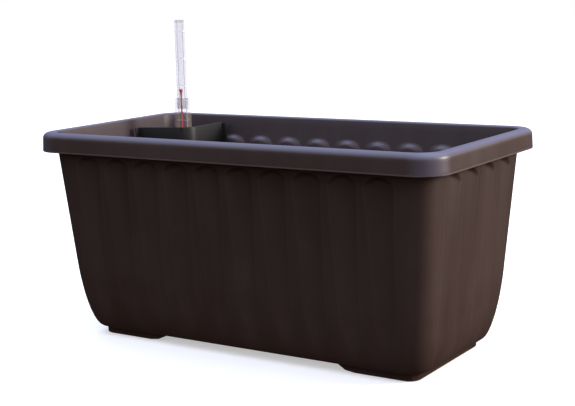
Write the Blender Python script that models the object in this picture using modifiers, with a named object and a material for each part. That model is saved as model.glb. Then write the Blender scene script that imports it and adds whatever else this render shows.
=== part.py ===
"""Self watering planter: a fluted tub, a lift-out reservoir insert and a float gauge.

Frame: metres, +Z up, +X along the tub's long side.  The origin is at the middle of the
tub's footprint, on the surface that the feet stand on.
"""
import math

import bmesh
import bpy
from mathutils import Matrix, Vector

NAME = "self_watering_planter"

# ---- tub: overall sizes ------------------------------------------------------------
TUB_LENGTH = 0.600          # over the rim, along X
TUB_WIDTH = 0.3025          # over the rim, along Y
TUB_HEIGHT = 0.2813         # feet to rim top
WALL = 0.0026               # side wall thickness
FLOOR = 0.0030              # floor thickness

# ---- tub: rim ----------------------------------------------------------------------
RIM_DEPTH = 0.0254          # height of the down-turned skirt
RIM_CORNER_R = 0.0353       # outside corner radius, in plan
RIM_DRAFT = 0.05            # inward lean of the skirt, per unit of height
SHOULDER_WIDTH = 0.0080     # rounded shoulder between skirt and rim top
SHOULDER_HEIGHT = 0.0070
SKIRT = 0.0024              # skirt thickness
RIM_WEB = 0.0032            # thickness of the rim's top
LIP_R = 0.0028              # rounding of the rim's inner edge

# ---- tub: walls, bottom curve and feet ---------------------------------------------
WALL_INSET = 0.0144         # rim outline to the wall's outside, at the rim top
TAPER = 0.0814              # inset of the wall per unit of depth
BODY_CORNER_R = 0.0274
CURVE_HEIGHT = 0.0895       # height over which the wall curves in to the base
CURVE_INSET = 0.0140        # how far that curve draws the wall in
FOOT_HEIGHT = 0.0113
FOOT_MARGIN = 0.0082        # base edge to foot edge
FOOT_CORNER_R = 0.0152
FOOT_LENGTH = 0.0934        # of each foot, along X, where it touches the ground
FOOT_SLOPE = 0.0180         # run of the slope from the ground up to the raised base

# ---- tub: flutes -------------------------------------------------------------------
FLUTE_PITCH = 0.0484
FLUTE_R = 0.0360            # radius of the hollow, seen from above
FLUTE_TOP_DEPTH = 0.0062    # at the crown of the arch
FLUTE_FOOT_DEPTH = 0.0030   # where the fade begins
FLUTE_TOP_DROP = 0.0300     # rim top down to the crown of the arch
FLUTE_FOOT_RISE = 0.0253    # ground up to where a flute has faded out
FLUTE_FADE = 0.0400         # height over which it fades
ARCH_R = 0.0220             # radius of the arched top, seen from the side
ARCH_LEDGE = 0.0040         # how far the arch's ledge slopes down over its depth

# ---- overflow in the left end wall --------------------------------------------------
OVERFLOW_R = 0.0060
OVERFLOW_DROP = 0.0100      # false floor's hem down to the outlet's axis
PLUG_HEAD_R = 0.0098
PLUG_HEAD = 0.0030
PLUG_SHANK = 0.0130
PLUG_SLACK = 0.0003         # radial slack of the shank in the outlet
SEAL_WIDTH = 0.0026
SEAL_THICK = 0.0016

# ---- false floor --------------------------------------------------------------------
DECK_RISE = 0.1200          # ground to the underside of the false floor
DECK_THICK = 0.0030
DECK_GAP = 0.0022           # all round, to the inside of the flutes
DECK_CORNER_R = 0.0220
DECK_HEM = 0.0080           # depth of the down-turned hem below the deck
DECK_HEM_THICK = 0.0022
DRAIN_R = 0.0030            # aeration holes
DRAIN_PITCH_X = 0.0400
DRAIN_PITCH_Y = 0.0340
DRAIN_KEEP_OUT = 0.0060     # least material left round any opening

# ---- support legs -------------------------------------------------------------------
LEG_R = 0.0080
LEG_BORE_R = 0.0060
LEG_MARGIN = 0.0300         # edge of a foot to the leg's axis
LEG_INNER_MARGIN = 0.0190   # the rear left leg stands at the foot's inner edge instead
SPIGOT_LENGTH = 0.0090
SPIGOT_SLACK = 0.0003

# ---- wick baskets -------------------------------------------------------------------
BASKET_COUNT = 3
BASKET_PITCH = 0.1000
BASKET_TOP_R = 0.0320
BASKET_FOOT_R = 0.0250
BASKET_WALL = 0.0020
BASKET_FLANGE = 0.0050
BASKET_SLOTS = 6
SLOT_WIDTH = 0.0045
SLOT_MARGIN = 0.0160        # basket's floor, and the deck, to the ends of a slot

# ---- corner filler shaft ------------------------------------------------------------
SHAFT_LENGTH = 0.1175       # left end of the rim to the side panel's outer face
SHAFT_WIDTH = 0.11025       # rear edge of the rim to the front panel's outer face
SHAFT_BEND_R = 0.0180
SHAFT_WALL = 0.0022
SHAFT_TOP_DROP = 0.0095     # rim top down to the shaft's top edge
SHAFT_TOP_FALL = 0.0028     # extra drop of that edge at its left end
SHAFT_FLANGE = 0.0080
DIMPLE_FROM_SIDE = 0.0105   # side panel's outer face to the middle of the finger dimple
DIMPLE_HALF = 0.0050
DIMPLE_DROP = 0.0060        # top edge down to its lowest point
DIMPLE_DEPTH = 0.0012       # into the front panel, which stays closed behind it
FILLER_LENGTH = 0.0480      # opening in the deck for the water, along X
FILLER_WIDTH = 0.0240
FILLER_SHIFT = 0.0040       # from the gauge's middle towards the end wall

# ---- float gauge --------------------------------------------------------------------
GAUGE_FROM_SIDE = 0.0255    # side panel's outer face to the gauge's middle
GAUGE_FROM_FRONT = 0.0215   # front panel's outer face to the gauge's middle
CHAMBER_LENGTH = 0.0340     # along X
CHAMBER_WIDTH = 0.0260
CHAMBER_WALL = 0.0018
CHAMBER_ABOVE_DECK = 0.0040
CHAMBER_CHAMFER = 0.0030
CHAMBER_SLACK = 0.0008      # chamber to the deck's opening
SLOTS_LONG = 0.35           # share of the chamber's long side that its slots take
SLOTS_SHORT = 0.30
SLOTS_FOOT = 0.0100         # chamber's lower edge to its slots
SLOTS_HEAD = 0.0200         # slots to the deck
SOCKET_DEPTH = 0.0070
SLEEVE_LENGTH = 0.0234      # along X
SLEEVE_WIDTH = 0.0116
SLEEVE_WALL = 0.0012
SLEEVE_CHAMFER = 0.0012
SLEEVE_ABOVE_RIM = 0.0300
TUBE_LENGTH = 0.0160        # along X
TUBE_WIDTH = 0.0076
TUBE_WALL = 0.0009
TUBE_CHAMFER = 0.0008
TUBE_ABOVE_RIM = 0.1434     # with its cap
TUBE_IN_SLEEVE = 0.0150
CAP_THICK = 0.0018
CAP_PLUG = 0.0040
MARKS_ABOVE_RIM = (0.0485, 0.0870, 0.1254)
MARK_HEIGHT = 0.0013
MARK_PROUD = 0.0004
GUIDE_BELOW_RIM = 0.0006    # rim top down to the guide's base plate
GUIDE_HEIGHT = 0.0113
GUIDE_PLATE = 0.0010
GUIDE_SLACK = 0.0003
GUIDE_SHOULDER = 0.0020     # plate's edge to the foot of the tent, along X
GUIDE_CROWN = 0.0014        # material round the rod at the tent's top

# ---- float and indicator rod --------------------------------------------------------
ROD_R = 0.0011
ROD_OFFSET_X = -0.0018      # the rod stands a little left of the tube's middle
BALL_R = 0.0026
BALL_ABOVE_RIM = 0.0408     # ball's centre with the reservoir empty
BALL_CONE = 0.0050
ROD_FOOT_R = 0.0042
ROD_FOOT = 0.0015
FLOAT_HEIGHT = 0.0180
FLOAT_RISE = 0.0150         # ground to the float's underside, empty
FLOAT_SLACK = 0.0015        # float to the chamber's inside
FLOAT_CORNER_R = 0.0030
BORE_SLACK = 0.0003         # rod in the float, the clip and the guide
CLIP_R = 0.0042
CLIP_THICK = 0.0030

TOUCH = 0.0003              # gap between pieces that touch
PAST = 0.0020               # how far a cutter runs past what it cuts
BITE = 0.0010               # how deep a joined form reaches into its neighbour
ROUND = 24                  # sides of a small round piece

# ---- levels that follow from the sizes above ----------------------------------------
HALF_X = TUB_LENGTH / 2
HALF_Y = TUB_WIDTH / 2
SHAFT_SIDE_X = SHAFT_LENGTH - HALF_X
SHAFT_FRONT_Y = HALF_Y - SHAFT_WIDTH
DIMPLE_X = SHAFT_SIDE_X - DIMPLE_FROM_SIDE
GAUGE_X = SHAFT_SIDE_X - GAUGE_FROM_SIDE
GAUGE_Y = SHAFT_FRONT_Y + GAUGE_FROM_FRONT
BASE_Z = FOOT_HEIGHT
CURVE_TOP = BASE_Z + CURVE_HEIGHT
DECK_TOP = DECK_RISE + DECK_THICK
INNER_FLOOR = BASE_Z + FLOOR
SHAFT_TOP = TUB_HEIGHT - SHAFT_TOP_DROP
CHAMBER_TOP = DECK_TOP + CHAMBER_ABOVE_DECK
SLEEVE_TOP = TUB_HEIGHT + SLEEVE_ABOVE_RIM
GAUGE_TOP = TUB_HEIGHT + TUBE_ABOVE_RIM
ROD_X = GAUGE_X + ROD_OFFSET_X
LEAN = math.atan(TAPER)


def wall_inset(z):
    """Inset of the tub's outside from the rim outline at height z."""
    inset = WALL_INSET + TAPER * (TUB_HEIGHT - z)
    if z < CURVE_TOP:
        e = min((CURVE_TOP - z) / CURVE_HEIGHT, 1.0)
        inset += CURVE_INSET * (1 - math.sqrt(1 - e * e))
    return inset


def cavity_inset(z):
    """Inset of the tub's inside, rounded outwards at the rim's inner edge."""
    inset = wall_inset(max(z - FLOOR, BASE_Z)) - TAPER * FLOOR + WALL
    lip = z - (TUB_HEIGHT - LIP_R)
    if lip > 0:
        inset -= LIP_R - math.sqrt(max(LIP_R ** 2 - min(lip, LIP_R) ** 2, 0.0))
    return inset


def rim_inset(z):
    """Inset of the rim's outside: a drafted skirt, then the rounded shoulder."""
    bottom = TUB_HEIGHT - RIM_DEPTH
    inset = RIM_DRAFT * (z - bottom)
    rise = z - (TUB_HEIGHT - SHOULDER_HEIGHT)
    if rise > 0:
        e = min(rise / SHOULDER_HEIGHT, 1.0)
        inset += SHOULDER_WIDTH * (1 - math.sqrt(1 - e * e))
    return inset


# ---- scene helpers ------------------------------------------------------------------
def clear_scene():
    for obj in list(bpy.data.objects):
        bpy.data.objects.remove(obj, do_unlink=True)


def collection(name):
    group = bpy.data.collections.new(name)
    bpy.context.scene.collection.children.link(group)
    return group


def material(name, colour, roughness, alpha=1.0):
    mat = bpy.data.materials.new(name)
    mat.use_nodes = True
    shader = mat.node_tree.nodes["Principled BSDF"]
    shader.inputs["Base Color"].default_value = (*colour, 1.0)
    shader.inputs["Roughness"].default_value = roughness
    shader.inputs["Metallic"].default_value = 0.0
    shader.inputs["Alpha"].default_value = alpha
    return mat


clear_scene()
PARTS = collection(NAME)
CUTTERS = collection(NAME + "_cutters")
BROWN = material("brown_plastic", (0.060, 0.036, 0.031), 0.45)
BLACK = material("black_plastic", (0.012, 0.012, 0.013), 0.40)
CLEAR = material("clear_plastic", (0.80, 0.74, 0.68), 0.12, alpha=0.35)
WHITE = material("white_foam", (0.80, 0.79, 0.76), 0.70)
RED = material("red_plastic", (0.52, 0.012, 0.035), 0.30)
RUBBER = material("seal_rubber", (0.020, 0.020, 0.020), 0.80)


def add_object(name, bm, mat=None, at=(0.0, 0.0, 0.0)):
    """Turns a bmesh into an object whose origin is at a place in the model's frame."""
    bmesh.ops.translate(bm, verts=bm.verts, vec=-Vector(at))
    mesh = bpy.data.meshes.new(name)
    bm.to_mesh(mesh)
    bm.free()
    obj = bpy.data.objects.new(name, mesh)
    obj.location = at
    if mat is None:
        CUTTERS.objects.link(obj)
        obj.hide_render = True
        obj.display_type = "WIRE"
    else:
        PARTS.objects.link(obj)
        mesh.materials.append(mat)
    return obj


def smooth(obj, angle=math.radians(35)):
    obj.data.shade_smooth()
    obj.data.set_sharp_from_angle(angle=angle)


def block(low, high):
    """A box as a bmesh, from its lowest and highest corners."""
    low, high = Vector(low), Vector(high)
    size = high - low
    bm = bmesh.new()
    place = Matrix.Translation((low + high) / 2) @ Matrix.Diagonal((*size, 1.0))
    bmesh.ops.create_cube(bm, size=1.0, matrix=place)
    return bm


def upright_edges(bm):
    return [e for e in bm.edges
            if abs(e.verts[0].co.z - e.verts[1].co.z) > abs(e.verts[0].co.x - e.verts[1].co.x)
            + abs(e.verts[0].co.y - e.verts[1].co.y)]


def rounded_block(low, high, radius, segments=5):
    """A box with rounded upright edges."""
    bm = block(low, high)
    bmesh.ops.bevel(bm, geom=upright_edges(bm), offset=radius, offset_type="OFFSET",
                    segments=segments, profile=0.5, affect="EDGES")
    return bm


def drafted_block(half_x, half_y, bottom, top, radius, levels, inset):
    """A rounded block whose outline draws in by inset(z), with a ring at each level."""
    bm = rounded_block((-half_x, -half_y, bottom), (half_x, half_y, top), radius)
    for z in levels:
        geom = bm.verts[:] + bm.edges[:] + bm.faces[:]
        bmesh.ops.bisect_plane(bm, geom=geom, plane_co=(0, 0, z), plane_no=(0, 0, 1))
    for vert in bm.verts:
        draw_in = inset(vert.co.z)
        vert.co.x -= math.copysign(draw_in, vert.co.x)
        vert.co.y -= math.copysign(draw_in, vert.co.y)
    return bm


def cylinder(radius, bottom, top, centre=(0.0, 0.0), sides=ROUND, top_radius=None):
    bm = bmesh.new()
    place = Matrix.Translation((centre[0], centre[1], (bottom + top) / 2))
    bmesh.ops.create_cone(bm, cap_ends=True, segments=sides, radius1=radius,
                          radius2=radius if top_radius is None else top_radius,
                          depth=top - bottom, matrix=place)
    return bm


def frame_box(centre, length, width):
    """Lowest and highest X and Y of a rectangle about a centre."""
    x, y = centre
    return x - length / 2, x + length / 2, y - width / 2, y + width / 2


def boolean(obj, cutter, operation="DIFFERENCE"):
    mod = obj.modifiers.new(operation.lower() + "_" + cutter.name, "BOOLEAN")
    mod.operation = operation
    mod.object = cutter
    mod.solver = "EXACT"
    return mod


def cut_box(obj, name, low, high):
    boolean(obj, add_object(name, block(low, high)))


def join_box(obj, name, low, high):
    boolean(obj, add_object(name, block(low, high)), "UNION")


def turned(name, profile, mat, at, steps=ROUND):
    """A solid of revolution about a vertical axis; the profile runs from top to bottom."""
    mesh = bpy.data.meshes.new(name)
    edges = [(i, i + 1) for i in range(len(profile) - 1)]
    mesh.from_pydata([(r, 0.0, z) for r, z in profile], edges, [])
    obj = bpy.data.objects.new(name, mesh)
    obj.location = at
    PARTS.objects.link(obj)
    mesh.materials.append(mat)
    screw = obj.modifiers.new("turn", "SCREW")
    screw.steps = steps
    screw.render_steps = steps
    screw.use_merge_vertices = True
    screw.merge_threshold = 0.00001
    return obj


# ---- tub ----------------------------------------------------------------------------
def curve_levels(bottom, count=6):
    """Heights of the rings through the curve at the foot of the wall."""
    span = CURVE_HEIGHT
    return [bottom + span - span * math.sin(math.pi / 2 * k / count) for k in range(count)]


def flute_depth(z):
    """Depth of a flute at height z: deepest at its arch, fading out in the curve below."""
    fade_top = FLUTE_FOOT_RISE + FLUTE_FADE
    if z < fade_top:
        return FLUTE_FOOT_DEPTH * (z - FLUTE_FOOT_RISE) / FLUTE_FADE
    u = (z - fade_top) / (TUB_HEIGHT - FLUTE_TOP_DROP - fade_top)
    return FLUTE_FOOT_DEPTH + (FLUTE_TOP_DEPTH - FLUTE_FOOT_DEPTH) * u * u


def flute_channel(extra, sides=28, fade_steps=3, steps=4):
    """A flute's hollow as a loft of circles, out of the wall of the side at +Y.

    extra is added to the radius, so that the wall's inside follows its outside.
    """
    fade_top = FLUTE_FOOT_RISE + FLUTE_FADE
    top = TUB_HEIGHT - FLUTE_TOP_DROP + BODY_CORNER_R / 2
    levels = [FLUTE_FOOT_RISE + FLUTE_FADE * (k - 0.5) / fade_steps for k in range(fade_steps)]
    levels += [fade_top + (top - fade_top) * k / steps for k in range(steps + 1)]
    bm = bmesh.new()
    rings = []
    for z in levels:
        centre = FLUTE_R - flute_depth(z) - wall_inset(z)
        made = bmesh.ops.create_circle(bm, cap_ends=False, segments=sides,
                                       radius=FLUTE_R + extra,
                                       matrix=Matrix.Translation((0.0, centre, z)))
        rings.append(made["verts"])
    for lower, upper in zip(rings, rings[1:]):
        edges = {e for v in lower for e in v.link_edges if e.other_vert(v) in lower}
        edges |= {e for v in upper for e in v.link_edges if e.other_vert(v) in upper}
        bmesh.ops.bridge_loops(bm, edges=list(edges))
    bmesh.ops.holes_fill(bm, edges=[e for e in bm.edges if e.is_boundary], sides=sides)
    bmesh.ops.recalc_face_normals(bm, faces=bm.faces)
    return bm


def flute_arch(extra, sides=24):
    """The form that ends a flute at its top: a sloping ledge under a round arch.

    It reaches only just out of the wall, so that neighbouring flutes stay apart.
    """
    slope = ARCH_LEDGE / FLUTE_TOP_DEPTH
    grown = ARCH_R + extra * math.hypot(1.0, slope)
    outside, inside = PAST / 2 - extra, FLUTE_TOP_DEPTH + extra + 2 * PAST
    z = TUB_HEIGHT - FLUTE_TOP_DROP - ARCH_R
    bm = bmesh.new()
    place = (Matrix.Translation((0.0, -wall_inset(z), z)) @
             Matrix.Rotation(math.pi / 2 - LEAN, 4, "X") @
             Matrix.Translation((0.0, 0.0, (inside - outside) / 2)))
    bmesh.ops.create_cone(bm, segments=sides, radius1=grown + slope * outside,
                          radius2=grown - slope * inside, depth=outside + inside,
                          matrix=place)
    low = FLUTE_FOOT_RISE - FLUTE_FADE / 2
    shallow = WALL_INSET + TAPER * (TUB_HEIGHT - low) - outside
    deep = wall_inset(FLUTE_FOOT_RISE) + FLUTE_R / 2
    for x in (-FLUTE_R, FLUTE_R):
        for inset in (shallow, deep):
            bm.verts.new((x, -inset, low))
    bmesh.ops.delete(bm, geom=bm.edges[:] + bm.faces[:], context="EDGES_FACES")
    hull = bmesh.ops.convex_hull(bm, input=bm.verts)
    bmesh.ops.delete(bm, geom=list({*hull["geom_interior"], *hull["geom_unused"]}),
                     context="VERTS")
    bmesh.ops.recalc_face_normals(bm, faces=bm.faces)
    return bm


def flute_cutter(name, extra):
    """One flute's cutter, as a mesh; it faces along +Y."""
    hollow = add_object(name + "_hollow", flute_channel(extra))
    boolean(hollow, add_object(name + "_arch", flute_arch(extra)), "INTERSECT")
    bpy.context.view_layer.update()
    shaped = hollow.evaluated_get(bpy.context.evaluated_depsgraph_get())
    return bpy.data.meshes.new_from_object(shaped)


def flute_count(length):
    """Flutes that fit between the rounded corners of a side."""
    return int((length - 2 * (WALL_INSET + BODY_CORNER_R)) / FLUTE_PITCH)


def flute_set(name, extra):
    """All the flutes' cutters as one object, a copy of the cutter at each place."""
    source = flute_cutter(name + "_one", extra)
    bm = bmesh.new()
    on_side, on_end = flute_count(TUB_LENGTH), flute_count(TUB_WIDTH)
    sides = ((on_side, HALF_Y, 0.0), (on_side, HALF_Y, math.pi),
             (on_end, HALF_X, math.pi / 2), (on_end, HALF_X, -math.pi / 2))
    for count, half, turn in sides:
        for k in range(count):
            along = (k - (count - 1) / 2) * FLUTE_PITCH
            before = len(bm.verts)
            bm.from_mesh(source)
            bm.verts.ensure_lookup_table()
            place = Matrix.Rotation(turn, 4, "Z") @ Matrix.Translation((along, half, 0.0))
            bmesh.ops.transform(bm, matrix=place, verts=bm.verts[before:])
    bpy.data.meshes.remove(source)
    return add_object(name, bm)


def foot_edges():
    """A foot's outer and inner X, and its half width, where it touches the ground."""
    margin = wall_inset(BASE_Z) + FOOT_MARGIN
    return HALF_X - margin, HALF_X - margin - FOOT_LENGTH, HALF_Y - margin


def foot_block(side, thickness, top):
    """The outline of one foot, drawn in by a thickness; side is -1 or 1 along X."""
    outer, inner, half_y = foot_edges()
    outer, inner, half_y = outer - thickness, inner + thickness, half_y - thickness
    bm = block((inner, -half_y, thickness), (outer, half_y, top))
    corners = [e for e in upright_edges(bm) if e.verts[0].co.x > (inner + outer) / 2]
    bmesh.ops.bevel(bm, geom=corners, offset=FOOT_CORNER_R - thickness,
                    offset_type="OFFSET", segments=4, profile=0.5, affect="EDGES")
    for vert in bm.verts:
        if vert.co.z > (thickness + top) / 2 and abs(vert.co.x - inner) < 1e-5:
            vert.co.x -= FOOT_SLOPE * (top - thickness) / BASE_Z
    if side < 0:
        bmesh.ops.transform(bm, matrix=Matrix.Rotation(math.pi, 4, "Z"), verts=bm.verts)
    return bm


def overflow_frame():
    """Matrix of the overflow: its origin on the wall's outside, +Z along the outlet."""
    z = DECK_RISE - DECK_HEM - OVERFLOW_DROP
    x = -(HALF_X - wall_inset(z))
    return Matrix.Translation((x, 0.0, z)) @ Matrix.Rotation(-math.pi / 2 - LEAN, 4, "Y")


def build_tub():
    rim_bottom = TUB_HEIGHT - RIM_DEPTH
    shoulder = [TUB_HEIGHT - SHOULDER_HEIGHT * (1 - math.sin(math.radians(a)))
                for a in (0, 25, 50, 72)]
    tub = add_object("tub", drafted_block(HALF_X, HALF_Y, rim_bottom, TUB_HEIGHT,
                                          RIM_CORNER_R, shoulder, rim_inset), BROWN)
    under = drafted_block(HALF_X, HALF_Y, rim_bottom - PAST, TUB_HEIGHT - RIM_WEB,
                          RIM_CORNER_R, shoulder[:1],
                          lambda z: SKIRT + rim_inset(min(z, shoulder[0])) +
                          max(0.0, z - shoulder[0]) * 0.9)
    boolean(tub, add_object("rim_hollow", under))
    body = drafted_block(HALF_X, HALF_Y, BASE_Z, TUB_HEIGHT - BITE, BODY_CORNER_R,
                         curve_levels(BASE_Z), wall_inset)
    boolean(tub, add_object("body_form", body), "UNION")
    for side, label in ((-1, "left"), (1, "right")):
        foot = foot_block(side, 0.0, BASE_Z + BITE)
        boolean(tub, add_object("foot_form_" + label, foot), "UNION")
    boolean(tub, flute_set("flutes_outside", 0.0))

    lip = [TUB_HEIGHT - LIP_R * (1 - math.sin(math.radians(a))) for a in (0, 35, 65, 90)]
    cavity = add_object("cavity", drafted_block(
        HALF_X, HALF_Y, INNER_FLOOR, TUB_HEIGHT + PAST, BODY_CORNER_R - WALL,
        curve_levels(INNER_FLOOR) + lip, cavity_inset))
    boolean(cavity, flute_set("flutes_inside", WALL))
    for side, label in ((-1, "left"), (1, "right")):
        well = foot_block(side, FLOOR, INNER_FLOOR + BITE)
        boolean(cavity, add_object("foot_well_" + label, well), "UNION")
    boolean(tub, cavity)

    outlet = cylinder(OVERFLOW_R, -0.02, 0.02)
    bmesh.ops.transform(outlet, matrix=overflow_frame(), verts=outlet.verts)
    boolean(tub, add_object("overflow_bore", outlet))
    return tub


# ---- overflow plug ------------------------------------------------------------------
def ring_profile(inner, outer, bottom, top):
    return [(inner, top), (outer, top), (outer, bottom), (inner, bottom), (inner, top)]


def build_overflow():
    place = overflow_frame()
    seal_face = TOUCH + SEAL_THICK
    head = seal_face + TOUCH
    shank_r = OVERFLOW_R - PLUG_SLACK
    profile = [(0.0, head + PLUG_HEAD), (PLUG_HEAD_R * 0.86, head + PLUG_HEAD),
               (PLUG_HEAD_R, head + PLUG_HEAD * 0.6), (PLUG_HEAD_R, head), (shank_r, head),
               (shank_r, head - PLUG_SHANK * 0.8), (shank_r * 0.8, head - PLUG_SHANK),
               (0.0, head - PLUG_SHANK)]
    plug = turned("overflow_plug", profile, BLACK, (0, 0, 0))
    plug.matrix_world = place
    bore = shank_r + PLUG_SLACK
    seal = turned("overflow_seal", ring_profile(bore, bore + SEAL_WIDTH, TOUCH, seal_face),
                  RUBBER, (0, 0, 0))
    seal.matrix_world = place


# ---- false floor, legs and baskets --------------------------------------------------
def leg_places():
    """Places of the legs' axes; the rear left one stands clear of the float chamber."""
    outer, inner, half_y = foot_edges()
    x, y = outer - LEG_MARGIN, half_y - LEG_MARGIN
    return {"front_left": (-x, -y), "front_right": (x, -y),
            "rear_right": (x, y), "rear_left": (-inner - FLOOR - LEG_INNER_MARGIN, y)}


def basket_places():
    return [((k - (BASKET_COUNT - 1) / 2) * BASKET_PITCH, 0.0) for k in range(BASKET_COUNT)]


def deck_half():
    """Half length and half width of the false floor, clear of the flutes inside."""
    inset = cavity_inset(DECK_RISE - DECK_HEM) + flute_depth(DECK_RISE) + DECK_GAP
    return HALF_X - inset, HALF_Y - inset


def filler_box():
    """The water opening in the deck, behind the float chamber."""
    front = GAUGE_Y + CHAMBER_WIDTH / 2 + CHAMBER_SLACK + DRAIN_KEEP_OUT
    middle = GAUGE_X - FILLER_SHIFT
    return (middle - FILLER_LENGTH / 2, middle + FILLER_LENGTH / 2, front,
            front + FILLER_WIDTH)


def drain_places():
    """Aeration holes on a grid, wherever nothing else takes the deck."""
    half_x, half_y = deck_half()
    reach = DRAIN_R + DRAIN_KEEP_OUT
    rows = int((half_y - reach - DECK_HEM_THICK) / DRAIN_PITCH_Y)
    columns = int((half_x - reach - DECK_HEM_THICK) / DRAIN_PITCH_X)
    shaft_x = SHAFT_SIDE_X + reach
    shaft_y = SHAFT_FRONT_Y - reach
    places = []
    for row in range(-rows, rows + 1):
        for column in range(-columns, columns + 1):
            x, y = column * DRAIN_PITCH_X, row * DRAIN_PITCH_Y
            if x < shaft_x and y > shaft_y:
                continue
            if any(math.dist((x, y), p) < LEG_R + reach for p in leg_places().values()):
                continue
            if any(math.dist((x, y), p) < BASKET_TOP_R + BASKET_FLANGE + reach
                   for p in basket_places()):
                continue
            places.append((x, y))
    return places


def build_false_floor():
    half_x, half_y = deck_half()
    deck = add_object("false_floor", rounded_block(
        (-half_x, -half_y, DECK_RISE - DECK_HEM), (half_x, half_y, DECK_TOP),
        DECK_CORNER_R), BLACK)
    inner_x, inner_y = half_x - DECK_HEM_THICK, half_y - DECK_HEM_THICK
    boolean(deck, add_object("deck_hollow", rounded_block(
        (-inner_x, -inner_y, DECK_RISE - DECK_HEM - PAST), (inner_x, inner_y, DECK_RISE),
        DECK_CORNER_R - DECK_HEM_THICK)))
    for label, place in leg_places().items():
        spigot = cylinder(LEG_BORE_R - SPIGOT_SLACK, DECK_RISE - SPIGOT_LENGTH,
                          DECK_RISE + BITE, place, sides=16)
        boolean(deck, add_object("spigot_" + label, spigot), "UNION")
    for number, place in enumerate(basket_places(), 1):
        hole = cylinder(BASKET_TOP_R + TOUCH, DECK_RISE - PAST, DECK_TOP + PAST, place)
        boolean(deck, add_object("basket_hole_%d" % number, hole))
    x0, x1, y0, y1 = frame_box((GAUGE_X, GAUGE_Y), CHAMBER_LENGTH + 2 * CHAMBER_SLACK,
                               CHAMBER_WIDTH + 2 * CHAMBER_SLACK)
    cut_box(deck, "chamber_opening", (x0, y0, DECK_RISE - PAST), (x1, y1, DECK_TOP + PAST))
    x0, x1, y0, y1 = filler_box()
    cut_box(deck, "filler_opening", (x0, y0, DECK_RISE - PAST), (x1, y1, DECK_TOP + PAST))
    drains = bmesh.new()
    for x, y in drain_places():
        place = Matrix.Translation((x, y, DECK_RISE + DECK_THICK / 2))
        bmesh.ops.create_cone(drains, cap_ends=True, segments=8, radius1=DRAIN_R,
                              radius2=DRAIN_R, depth=DECK_THICK + 2 * PAST, matrix=place)
    boolean(deck, add_object("drains", drains))


def build_legs():
    head = DECK_RISE - TOUCH
    for label, (x, y) in leg_places().items():
        bottom = floor_height(abs(x) - LEG_R) + TOUCH
        leg = turned("support_leg_" + label, ring_profile(LEG_BORE_R, LEG_R, bottom, head),
                     BLACK, (0, 0, 0), steps=20)
        leg.location = (x, y, 0.0)
        smooth(leg)


def floor_height(x):
    """Height of the tub's inner floor: flat in a foot's well, then sloping to the middle."""
    well = foot_edges()[1] + FLOOR
    return FLOOR + min(max((well - x) / FOOT_SLOPE, 0.0), 1.0) * BASE_Z


def build_baskets():
    bottom = INNER_FLOOR + TOUCH
    rim = DECK_TOP + TOUCH
    for number, (x, y) in enumerate(basket_places(), 1):
        name = "wick_basket_%d" % number
        top = rim + BASKET_WALL
        profile = [(0.0, bottom + BASKET_WALL), (BASKET_FOOT_R - BASKET_WALL, bottom + BASKET_WALL),
                   (BASKET_TOP_R - BASKET_WALL, top), (BASKET_TOP_R + BASKET_FLANGE, top),
                   (BASKET_TOP_R + BASKET_FLANGE, rim), (BASKET_TOP_R, rim),
                   (BASKET_FOOT_R, bottom), (0.0, bottom)]
        basket = turned(name, profile, BLACK, (x, y, 0.0))
        low = bottom + SLOT_MARGIN
        high = DECK_RISE - SLOT_MARGIN
        reach = BASKET_TOP_R + PAST
        slots = bmesh.new()
        for k in range(BASKET_SLOTS // 2):
            turn = Matrix.Rotation(math.pi * (k + 0.5) * 2 / BASKET_SLOTS, 4, "Z")
            place = (Matrix.Translation((x, y, (low + high) / 2)) @ turn @
                     Matrix.Diagonal((2 * reach, SLOT_WIDTH, high - low, 1.0)))
            bmesh.ops.create_cube(slots, size=1.0, matrix=place)
        cutter = add_object(name + "_slots", slots)
        mod = boolean(basket, cutter)
        mod.use_self = True
        smooth(basket)


# ---- corner filler shaft ------------------------------------------------------------
def shaft_stand_off():
    """Distance from the wall's inside to the back of the shaft's flanges."""
    return FLUTE_TOP_DEPTH + DECK_GAP


def shaft_outline(z):
    """Plan of the shaft's outer face at height z, from its left flange to its rear one."""
    wall_x = -(HALF_X - cavity_inset(min(z, TUB_HEIGHT - LIP_R)) - shaft_stand_off())
    wall_y = HALF_Y - cavity_inset(min(z, TUB_HEIGHT - LIP_R)) - shaft_stand_off()
    left = wall_x + SHAFT_WALL
    rear = wall_y - SHAFT_WALL
    centre = (SHAFT_SIDE_X - SHAFT_BEND_R, SHAFT_FRONT_Y + SHAFT_BEND_R)
    points = [(left, SHAFT_FRONT_Y - SHAFT_FLANGE), (left, SHAFT_FRONT_Y)]
    steps = 8
    for k in range(steps + 1):
        turn = -math.pi / 2 + math.pi / 2 * k / steps
        points.append((centre[0] + SHAFT_BEND_R * math.cos(turn),
                       centre[1] + SHAFT_BEND_R * math.sin(turn)))
    points += [(SHAFT_SIDE_X, rear), (SHAFT_SIDE_X + SHAFT_FLANGE, rear)]
    return points


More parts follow.
